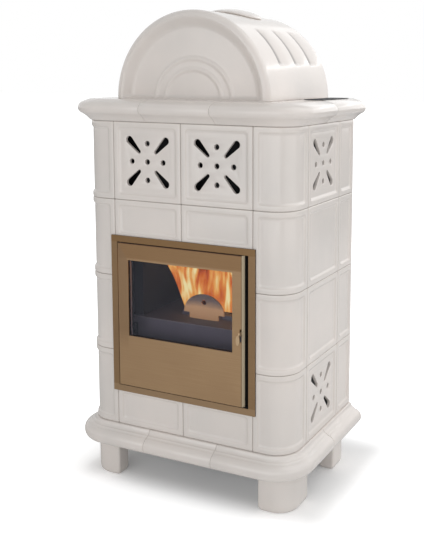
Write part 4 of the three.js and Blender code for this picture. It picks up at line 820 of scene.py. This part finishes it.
def flute_shade_and_pool(points):
    """Painted shade with some pooled glaze in a flute: darkest behind its steep front wall, gone a little
    past its middle.
    """
    angle = np.arctan2(points[:, 2] - HOOD_Z, np.abs(points[:, 0]))
    up = np.degrees(angle)
    on_barrel = np.hypot(points[:, 0], points[:, 2] - HOOD_Z) > HOOD_RADIUS - 1.5 * FLUTE_DEPTH
    ends = rise(up, 22.4, 26.0) * (1 - rise(up, 49.0, 54.5))
    pool = 0.0
    for front in FLUTES:
        share = (points[:, 1] - front) / FLUTE_WIDTH
        near = rise(share, -0.002, 0.012) * (1 - rise(share, 0.24, 0.36)) * 0.7
        wide = rise(share, -0.002, 0.02) * (1 - np.clip(share / 0.6, 0, 1)) * 0.2
        pool = pool + near + wide
    return np.clip(pool, 0, 1) * ends * on_barrel


hood_shell = piece("hood_glazed", hood(), moulding_glaze, instead="hood", values={"deep": flute_shade_and_pool})
wall_thickness = hood_shell.modifiers.new("wall", "SOLIDIFY")
wall_thickness.thickness = HOOD_WALL * 0.001
wall_thickness.offset = -1.0

# The lid: a round ceramic cap that follows the barrel, swells to the middle and has a spigot under it.
LID_RADIUS = lid_high[0]
LID_EDGE = 6.0
LID_SEAT = 0.6
LID_ROUND = (3.2, 3.0, 2.6)  # how far the rim is rounded in, up from its foot and down from its edge
LID_CROWN = lid_high[2] - HOOD_Z - HOOD_RADIUS
SPIGOT_END = lid_low[2] - HOOD_Z - HOOD_RADIUS
SPIGOT_OUTER, SPIGOT_INNER = 68.0, 62.0


def lid_swell(radius):
    """Height over the barrel: a low dome that falls to the rim by a power of one minus the squared radius."""
    return LID_EDGE + (LID_CROWN - LID_EDGE) * (1 - (radius / LID_RADIUS) ** 2) ** 0.85


def lid():
    """Rings of one radius each, under the lid, round its rim and over its top, at heights over the barrel."""
    inwards, from_foot, from_edge = LID_ROUND
    foot_round, edge_round = quarter(5, 0.5), quarter(5, 0.0, 1.25)
    line = [(radius, LID_SEAT) for radius in (0.5, 20, 40, 55, SPIGOT_INNER)]
    line += [(SPIGOT_INNER, SPIGOT_END), (SPIGOT_OUTER, SPIGOT_END), (SPIGOT_OUTER, LID_SEAT)]
    line.append((LID_RADIUS - 2, LID_SEAT))
    line += [(LID_RADIUS - inwards * near, LID_SEAT + from_foot * up) for up, near in foot_round]
    line += [(LID_RADIUS - inwards * near, LID_EDGE - from_edge * down) for near, down in edge_round]
    line += [(radius, lid_swell(radius)) for radius in (82, 79, 75, 70, 64, 57, 49, 40, 30, 20, 10, 0.5)]
    turn = np.linspace(0, 2 * math.pi, 96, endpoint=False)
    rings = []
    for radius, height in line:
        x, y = (radius * circle(turn)).T
        crown = HOOD_RADIUS + 0 * x if height == SPIGOT_END else np.sqrt(HOOD_RADIUS**2 - x**2)
        rings.append(np.stack([x, LID_Y + y, HOOD_Z + crown + height], axis=-1))
    return capped(rings)


piece("hood_lid_glazed", lid(), moulding_glaze, body="lid", instead="hood_lid")

# ---- Metal finishes -----------------------------------------------------------------------------
# The door and its surround are sheet steel in a brushed bronze finish. The other metal is painted black, zinc
# coated or cast, and the linings are sooted fireclay. The solids keep their shape: they are only welded, and
# their edges are broken by a fine bevel.
GAP_SHADE_BLACK = linear(26, 24, 24)


def bronze(name, low, high, patch, gap_shade_from=50.0, dressed=None):
    """Fine brushing along X, cloudy darker patches, and painted shade: dull black behind a depth in
    millimetres.
    """
    finish = Finish(name)
    brushed = finish.noise(1.0, at=finish.stretched(9.0, 700.0, 700.0))
    cloud = finish.noise(4.0)
    tone = finish.ramp(brushed, (0.3, linear(*low)), (0.7, linear(*high)))
    tone = finish.mix(finish.step(cloud, 0.35, 0.7) * 0.6, tone, linear(*patch))
    if dressed:
        tone = dressed(finish, tone)
    # painted shade: behind the given depth the sheet turns dull black, so the gaps round the door read dark
    painted = finish.step(finish.axis("Y"), FRONT + gap_shade_from * 0.001, FRONT + (gap_shade_from + 0.5) * 0.001)
    tone = finish.mix(painted, tone, GAP_SHADE_BLACK)
    return finish.surface(
        Base_Color=tone,
        Metallic=0.65 - painted * 0.65,
        Roughness=brushed * 0.08 + cloud * 0.1 + 0.34 + painted * 0.4,
        Normal=finish.bump(brushed, 0.00004, 0.4),
    )


def door_light_and_shade(finish, tone):
    """Painted shadow on the door's upper edge, painted shade at the fold and by the hinge, a painted
    highlight past the fold.
    """
    tone = finish.shade(tone, "Z", 0.662, 0.668, 0.6, (122, 90, 56))  # the upper rail
    # painted shadow: a dark line along the door's upper edge, under the surround
    tone = finish.shade(tone, "Z", 0.7055, 0.7065, 1.0, (84, 60, 46))  # the rail's edge
    # painted shade along the fold
    tone = finish.shade(tone, "X", 0.1872, 0.1888, 0.7, (112, 90, 66))  # the fold on the handle's side
    # painted highlight on the sheet beyond the fold
    tone = finish.shade(tone, "X", 0.1898, 0.1912, 1.0, (186, 172, 146))  # the sheet beyond the fold
    # painted shade: the strip by the hinge is darker, up to a mitre at its top
    across, up = finish.axis("X"), finish.axis("Z")
    beside = finish.step(across, -0.173, -0.178)
    mitre = finish.step(0.708 - up - (across + 0.208) * 1.43, -0.005, 0.005)
    above = finish.step(up, 0.40, 0.46)
    return finish.mix(beside * mitre * above * 0.8, tone, linear(136, 109, 81))


def framed_sheet(finish, tone):
    """The surround's lower bar catches more light than its upper one."""
    tone = finish.shade(tone, "Z", 0.293, 0.290, 0.8, (154, 128, 98))
    return finish.shade(tone, "Z", 0.708, 0.711, 0.6, (122, 92, 56))


def dark_metal(name, low, high, metallic, rough, grain=420.0, depth=0.00004, dressed=None):
    """Painted, coated or cast metal, or fireclay: a grain between two tones, duller where it is lighter."""
    finish = Finish(name)
    fine = finish.noise(grain, 3.0, 0.6)
    cloud = finish.noise(9.0, 4.0, 0.6)
    tone = finish.ramp(cloud * 0.7 + fine * 0.3, (0.3, linear(*low)), (0.7, linear(*high)))
    if dressed:
        tone = dressed(finish, tone)
    return finish.surface(
        Base_Color=tone,
        Metallic=metallic,
        Roughness=cloud * 0.18 + (rough - 0.09),
        Normal=finish.bump(fine, depth, 0.7),
    )


def dress(node, material, bevel):
    """Gives a CAD node its finish, welds it and breaks its edges by a width in millimetres."""
    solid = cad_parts[node]
    solid.data.materials.clear()
    solid.data.materials.append(material)
    weld = solid.modifiers.new("weld", "WELD")
    weld.merge_threshold = 0.00002
    if bevel:
        edge = solid.modifiers.new("edge", "BEVEL")
        edge.width = bevel * 0.001
        edge.segments = 2
        edge.limit_method = "ANGLE"
        edge.angle_limit = math.radians(30)


def hearth_reflection_and_wear(finish, tone):
    """Painted reflections: the hearth is darker blue-grey on the hinge side and lighter before the guard; its
    front edge is rubbed bright.
    """
    across, up = finish.axis("X"), finish.axis("Z")
    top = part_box("hearth_plate")[1].z
    flat = finish.step(up, top - 0.0012, top - 0.0004)
    drift = across + finish.noise(16.0, 4.0, 0.6) * 0.12
    # painted reflections: darker blue-grey on the hinge side, lighter before the guard
    tone = finish.mix(flat * finish.step(drift, 0.02, -0.10) * 0.5, tone, linear(60, 70, 92))
    tone = finish.mix(flat * finish.step(drift, 0.0, 0.08) * 0.45, tone, linear(140, 152, 162))
    edge = finish.step(up, top - 0.004, top - 0.001)
    front = finish.step(finish.axis("Y"), FRONT + 0.068, FRONT + 0.062)
    return finish.mix(edge * front * 0.6, tone, linear(150, 138, 138))


def painted_lit_inner_edge(finish, tone):
    """Painted light: a pale strip on the retaining frame's upright inner edge on the hinge side, behind the
    glass.
    """
    across = finish.axis("X")
    rear = finish.step(finish.axis("Y"), FRONT + 0.0045, FRONT + 0.0055)
    # painted highlight: the pale strip on the inner edge
    edge = finish.step(across, -0.1772, -0.1765) * finish.step(across, -0.1715, -0.1722)
    return finish.mix(rear * edge * 0.95, tone, linear(200, 188, 194))


door_bronze = bronze("door_bronze", (160, 130, 97), (168, 139, 105), (150, 121, 90), 1.4, door_light_and_shade)
frame_bronze = bronze("frame_bronze", (134, 107, 76), (141, 114, 83), (126, 100, 72), -3.5, framed_sheet)
handle_bronze = bronze("handle_bronze", (186, 160, 128), (200, 174, 140), (172, 146, 114))
black_steel = dark_metal("black_steel", (30, 30, 34), (44, 44, 48), 0.2, 0.55)
retainer_steel = dark_metal("retainer_steel", (34, 33, 38), (46, 45, 50), 0.2, 0.5, dressed=painted_lit_inner_edge)
cast_iron = dark_metal("cast_iron", (98, 92, 102), (124, 116, 126), 0.3, 0.6, 260.0, 0.00005, hearth_reflection_and_wear)
zinc_sheet = dark_metal("zinc_sheet", (137, 140, 143), (149, 152, 154), 0.75, 0.48, 60.0, 0.0001)
sooted_fireclay = dark_metal("sooted_fireclay", (30, 29, 36), (42, 40, 47), 0.0, 0.9, 180.0, 0.00005)

finishes = (  # the finish, the width of the broken edge, the nodes
    (frame_bronze, 0.7, "door_surround"),
    (door_bronze, 0.6, "door_panel"),
    (handle_bronze, 0.7, "door_handle"),
    (black_steel, 0.5, "firebox_shell", "flue_collar", "vent_grille_left", "vent_grille_right"),
    (retainer_steel, 0.5, "glass_retainer"),
    (cast_iron, 0.8, "hearth_plate", "fire_grate"),
    (zinc_sheet, 0.5, "base_frame", "rear_panel", "ash_pan", "air_slide"),
    (sooted_fireclay, 1.2, "lining_left", "lining_right", "lining_rear", "baffle_plate"),
)
for material, bevel, *nodes in finishes:
    for node in nodes:
        dress(node, material, bevel)

# ---- Rear panel screws --------------------------------------------------------------------------
# Pan-head screws hold the zinc-coated rear panel, in a row up each side and three more along its top and its
# foot. Each head is turned: a rim, a low dome and a socket in the middle.
panel_low, panel_high = corners("rear_panel")
SCREW_SEAT = panel_high[1] + 0.05
SCREW_LINE = (  # radius, height over the seat
    (5.2, 0.0), (5.3, 0.5), (5.0, 1.1), (4.2, 1.9), (3.2, 2.4),
    (2.3, 2.6), (1.9, 2.4), (1.8, 1.0), (0.02, 0.9),
)
SCREW_IN = 11.0  # from the panel's edge


def screw_head(x, z):
    """The line of (radius, height) points turned about an axis along Y, closed at both ends."""
    turn = np.linspace(0, 2 * math.pi, 20, endpoint=False)
    radius, height = np.array(SCREW_LINE).T[:, :, None]
    places = np.broadcast_arrays(x + radius * np.cos(turn), SCREW_SEAT + height, z + radius * np.sin(turn))
    points, faces = skin(np.stack(places, axis=-1))
    last = len(points) - len(turn)
    return points, faces + [list(range(len(turn))), list(range(last, len(points)))]


screw_x = panel_high[0] - SCREW_IN
screw_low, screw_high = panel_low[2] + SCREW_IN, panel_high[2] - SCREW_IN
screws = [(side * screw_x, z) for side in (-1, 1) for z in np.linspace(screw_low, screw_high, 5)]
screws += [(x, z) for x in (-screw_x / 2, 0, screw_x / 2) for z in (screw_low, screw_high)]
heads = gather(*[screw_head(x, z) for x, z in screws])
piece("rear_panel_screws", heads, black_steel)

# ---- Log guard ----------------------------------------------------------------------------------
# A steel plate with an arched top stands in the hearth and keeps the logs off the glass. Heat has tinted its
# lower half to straw, and a faint glow of its own tint is painted light for the fire's light on it.


def heat_tint_and_painted_glow():
    """A tint that changes with the height, from straw at the foot to grey at the top, also given off faintly
    as painted light.
    """
    finish = Finish("heat_tint_and_painted_glow")
    guard_low, guard_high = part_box("log_guard")
    blur = finish.noise(40.0) * 0.012
    share = finish.step(finish.axis("Z") + blur, guard_low.z + 0.018, guard_high.z + 0.006)
    tint = finish.ramp(
        share,
        (0.1, linear(214, 164, 118)),
        (0.45, linear(218, 170, 124)),
        (0.72, linear(132, 112, 102)),
        (0.95, linear(104, 92, 90)),
    )
    return finish.surface(
        Base_Color=tint,
        Metallic=0.2,
        Roughness=finish.noise(500.0) * 0.15 + 0.4,
        # painted light: the guard gives off its own tint faintly, for the fire's light falling on it
        Emission_Color=tint,
        Emission_Strength=0.25,
    )


dress("log_guard", heat_tint_and_painted_glow(), 0.5)

# ---- Logs and fire ------------------------------------------------------------------------------
# Three charred logs lie on the grate behind the guard, and the flames stand up from them in thin sheets. A
# log is a bent cylinder whose bark is folded in by sines; a flame is a waving sheet with leaning edges.


def log(start, end, radius, seed):
    """Rings along a line, each with a radius that swells and folds with the angle and the length."""
    start, end = np.array(start, float), np.array(end, float)
    along = (end - start) / np.linalg.norm(end - start)
    side = np.cross(along, (0, 0, 1))
    side /= np.linalg.norm(side)
    up = np.cross(side, along)
    turn = np.linspace(0, 2 * math.pi, 40, endpoint=False)
    share = np.linspace(0, 1, 46)[:, None]
    folds = 0.5 + 0.5 * np.cos(9 * turn + 2 * np.sin(6 * share + seed) + seed)
    cracks = 0.5 + 0.5 * np.cos(30 * share + 3 * np.sin(2 * turn + seed))
    size = radius * (1 - 0.13 * folds**3 - 0.05 * cracks**4 + 0.05 * np.sin(5 * share + turn * 2 + seed))
    size = size * np.sqrt(1 - np.abs(2 * share - 1) ** 24)
    middle = start + share * (end - start) + 4 * np.sin(4 * share + seed) * side
    return skin(middle[:, None] + size[:, :, None] * (circle(turn) @ [side, up]))


def charred_wood():
    """Black wood between cracks that glow."""
    finish = Finish("charred_wood")
    grain = finish.noise(60.0, 5.0, 0.65)
    edges = {"feature": "DISTANCE_TO_EDGE"}
    crack = finish.node("ShaderNodeTexVoronoi", edges, {"Scale": 55.0}, out="Distance")
    tone = finish.ramp(grain, (0.3, linear(16, 14, 14)), (0.7, linear(52, 44, 40)))
    ember = finish.ramp(crack + grain * 0.12, (0.045, linear(220, 84, 20)), (0.08, (0, 0, 0, 1)))
    return finish.surface(
        Base_Color=tone,
        Roughness=0.95,
        Emission_Color=ember,
        Emission_Strength=0.8,
        Normal=finish.bump(grain + crack, 0.003),
    )


GRATE_TOP = corners("fire_grate")[1][2]
logs = [
    log((-118, 208, GRATE_TOP + 34), (122, 232, GRATE_TOP + 34), 34, 0.4),
    log((-96, 292, GRATE_TOP + 36), (128, 268, GRATE_TOP + 38), 36, 2.1),
    log((-104, 262, GRATE_TOP + 92), (88, 226, GRATE_TOP + 84), 29, 4.0),
]
piece("charred_logs", gather(*logs), charred_wood(), body="grate")

EYE = (0.0, 118.5, corners("log_guard")[0][2] + 49.0)  # middle of the guard's eye
SIGHT = (-0.62, -0.38)  # the camera looks through the eye about this far left and down per millimetre


def flame_sheet(y, left, right, foot, top, seed):
    """A sheet whose sides lean outwards, with a tongued top; sines that grow with height wave it."""
    across = np.linspace(0, 1, 130)
    share = np.linspace(0, 1, 60)[:, None]
    tongue = np.abs(np.sin(7.3 * across + seed)) ** 0.7 * (0.75 + 0.25 * np.sin(19 * across + 2 * seed))
    z = foot + share * (top - foot) * (0.8 + 0.2 * tongue)
    x0 = left - 78 * share
    x1 = right + 58 * share
    wave = 9 * share * np.sin(math.pi * across) ** 0.5 * np.sin(6 * share + 14 * across + seed)
    x = x0 + across * (x1 - x0) + wave
    y = y + 14 * np.sin(9 * across + 3 * share + seed) * (0.3 + share)
    return skin(np.stack([x, y, z], axis=-1), around=False)


def flame_fade(y, foot, top):
    """A value at each point: it grows towards the top, and is full in a round gap behind the guard's eye."""
    def fade(points):
        high = rise(points[:, 2], foot + 0.75 * (top - foot), top)
        gap_x = EYE[0] + SIGHT[0] * (y - EYE[1])
        gap_z = EYE[2] + SIGHT[1] * (y - EYE[1])
        gap = 1 - rise(np.hypot(points[:, 0] - gap_x, points[:, 2] - gap_z), 15, 24)
        return 0.6 * high + 4 * gap
    return fade


def fire():
    """Streaks drawn up the sheet: pale yellow cores, orange flanks and dark gaps between the tongues."""
    finish = Finish("flame")
    streak = finish.noise(1.0, at=finish.stretched(58.0, 20.0, 7.0))
    lick = finish.noise(1.0, 2.0, 0.55, at=finish.stretched(24.0, 12.0, 10.0))
    heat = streak * 0.75 + lick * 0.5 - finish.attribute("fade") * 0.16
    glow = finish.ramp(
        heat,
        (0.46, linear(84, 26, 14)),
        (0.53, linear(198, 88, 38)),
        (0.61, linear(228, 130, 60)),
        (0.69, linear(244, 176, 92)),
        (0.79, linear(254, 236, 172)),
    )
    body = finish.step(heat - finish.attribute("fade") * 0.2, 0.43, 0.50)
    clear = finish.node("ShaderNodeBsdfTransparent")
    light = finish.node("ShaderNodeEmission", sockets={"Color": glow, "Strength": 1.0})
    return finish.end(finish.blend(body, clear, light))


flame = fire()
flame_places = (  # depth, left and right at the foot, foot and top over the grate, seed of the waves
    (152, -88, 86, 6, 173, 0.3),
    (186, -96, 98, 16, 164, 1.9),
    (250, -96, 100, 56, 148, 3.7),
)
for number, (y, left, right, low, high, seed) in enumerate(flame_places, 1):
    low, high = GRATE_TOP + low, GRATE_TOP + high
    sheet = flame_sheet(y, left, right, low, high, seed)
    fade = {"fade": flame_fade(y, low, high)}
    piece(f"flames_{number}", sheet, flame, body="grate", values=fade)

# ---- Door glass ---------------------------------------------------------------------------------
# One sheet of clear ceramic glass, faintly smoked. The retaining frame holds it behind the opening in the
# door sheet.


def smoked_glass():
    """Clear seen straight on, and glossier the more it is seen from the side."""
    finish = Finish("door_glass_clear")
    clear = finish.node("ShaderNodeBsdfTransparent", sockets={"Color": (0.88, 0.88, 0.90, 1)})
    gloss = finish.node("ShaderNodeBsdfGlossy", sockets={"Color": (0.72, 0.76, 0.88, 1), "Roughness": 0.06})
    facing = finish.node("ShaderNodeFresnel", sockets={"IOR": 1.32})
    return finish.end(finish.blend(facing, clear, gloss))


dress("door_glass", smoked_glass(), 0)

# ---- Floor and light ----------------------------------------------------------------------------
# A pale floor under an even white sky, with large weak softboxes in front, at the right, over and behind the
# stove, and a narrow strip behind it that draws the bright line on the hood's flank. The floor carries the
# stove's shadow; beyond it the camera sees plain white.
FLOOR_HALF = 30.0
SHADOW_MIDDLE = (0.032, 0.0375, 0)  # a rectangle under the stove, where the floor is darkest
SHADOW_HALF = (0.332, 0.2125, 0)
SHADOW_REACH = 0.2  # the floor turns white over this distance from it
FLOOR_GLOW = ((0.0, 0.11), (0.12, 0.17), (0.27, 0.31), (0.37, 0.45), (0.47, 0.53), (0.6, 0.58), (1.0, 1.0))
WHITE = (1.0, 1.0, 1.0, 1.0)
SOFT_LIGHT = 0.42


def pale_floor():
    """Matt to the light; the camera also sees a glow, which grows with the distance from the rectangle."""
    finish = Finish("pale_floor")
    from_middle = finish.vectors("ABSOLUTE", finish.vectors("SUBTRACT", finish.place, SHADOW_MIDDLE))
    outside = finish.vectors("MAXIMUM", finish.vectors("SUBTRACT", from_middle, SHADOW_HALF))
    share = finish.vectors("LENGTH", outside, out="Value") * (1 / SHADOW_REACH)
    glow = finish.ramp(share, *[(place, (light, light, light, 1)) for place, light in FLOOR_GLOW])
    matt = finish.node("ShaderNodeBsdfDiffuse", sockets={"Color": (0.92, 0.92, 0.92, 1)})
    bright = finish.node("ShaderNodeEmission", sockets={"Color": glow, "Strength": 1.0})
    seen = finish.node("ShaderNodeAddShader", sockets={0: matt, 1: bright})
    camera_ray = finish.node("ShaderNodeLightPath", out="Is Camera Ray")
    return finish.end(finish.blend(camera_ray, matt, seen))


floor_mesh = bpy.data.meshes.new("floor")
floor_corners = [(x * FLOOR_HALF, y * FLOOR_HALF, 0) for x, y in ((-1, -1), (1, -1), (1, 1), (-1, 1))]
floor_mesh.from_pydata(floor_corners, [], [(0, 1, 2, 3)])
floor_mesh.materials.append(pale_floor())
floor = added("floor", floor_mesh)


def studio():
    """A white backdrop for the camera and for gloss and glass, and a softer light on everything else."""
    sky = Finish("studio", "worlds")
    seen = sky.node("ShaderNodeLightPath", out="Is Camera Ray")
    for kind in ("Is Glossy Ray", "Is Transmission Ray"):
        seen = sky.numbers("MAXIMUM", seen, sky.node("ShaderNodeLightPath", out=kind))
    soft = sky.node("ShaderNodeBackground", sockets={"Color": WHITE, "Strength": SOFT_LIGHT})
    plain = sky.node("ShaderNodeBackground", sockets={"Color": WHITE, "Strength": 1.0})
    return sky.end(sky.blend(seen, soft, plain), "ShaderNodeOutputWorld")


bpy.context.scene.world = studio()


def lamp(name, place, target, width, height, power):
    """A rectangle of light at a place, turned to its target; sizes in metres, power in watts."""
    data = bpy.data.lights.new(name, "AREA")
    data.shape = "RECTANGLE"
    data.size, data.size_y = width, height
    data.energy = power
    made = added(name, data)
    made.location = place
    made.rotation_mode = "QUATERNION"
    made.rotation_quaternion = (Vector(target) - Vector(place)).to_track_quat("-Z", "Y")


lamp("front_softbox", (0.2, -3.8, 0.9), (0, 0, 0.5), 5.0, 3.2, 57)
lamp("right_softbox", (3.4, -0.4, 1.1), (0, 0, 0.7), 3.6, 3.2, 21)
lamp("top_softbox", (1.8, 0.5, 3.2), (0.1, 0, 1.2), 2.8, 2.8, 28)
lamp("rear_softbox", (1.4, 3.3, 2.3), (0, 0, 1.2), 5.0, 3.0, 26)
lamp("rear_strip", (1.3, 2.7, 2.17), (0.22, 0.1, 1.2), 3.0, 0.12, 2.6)
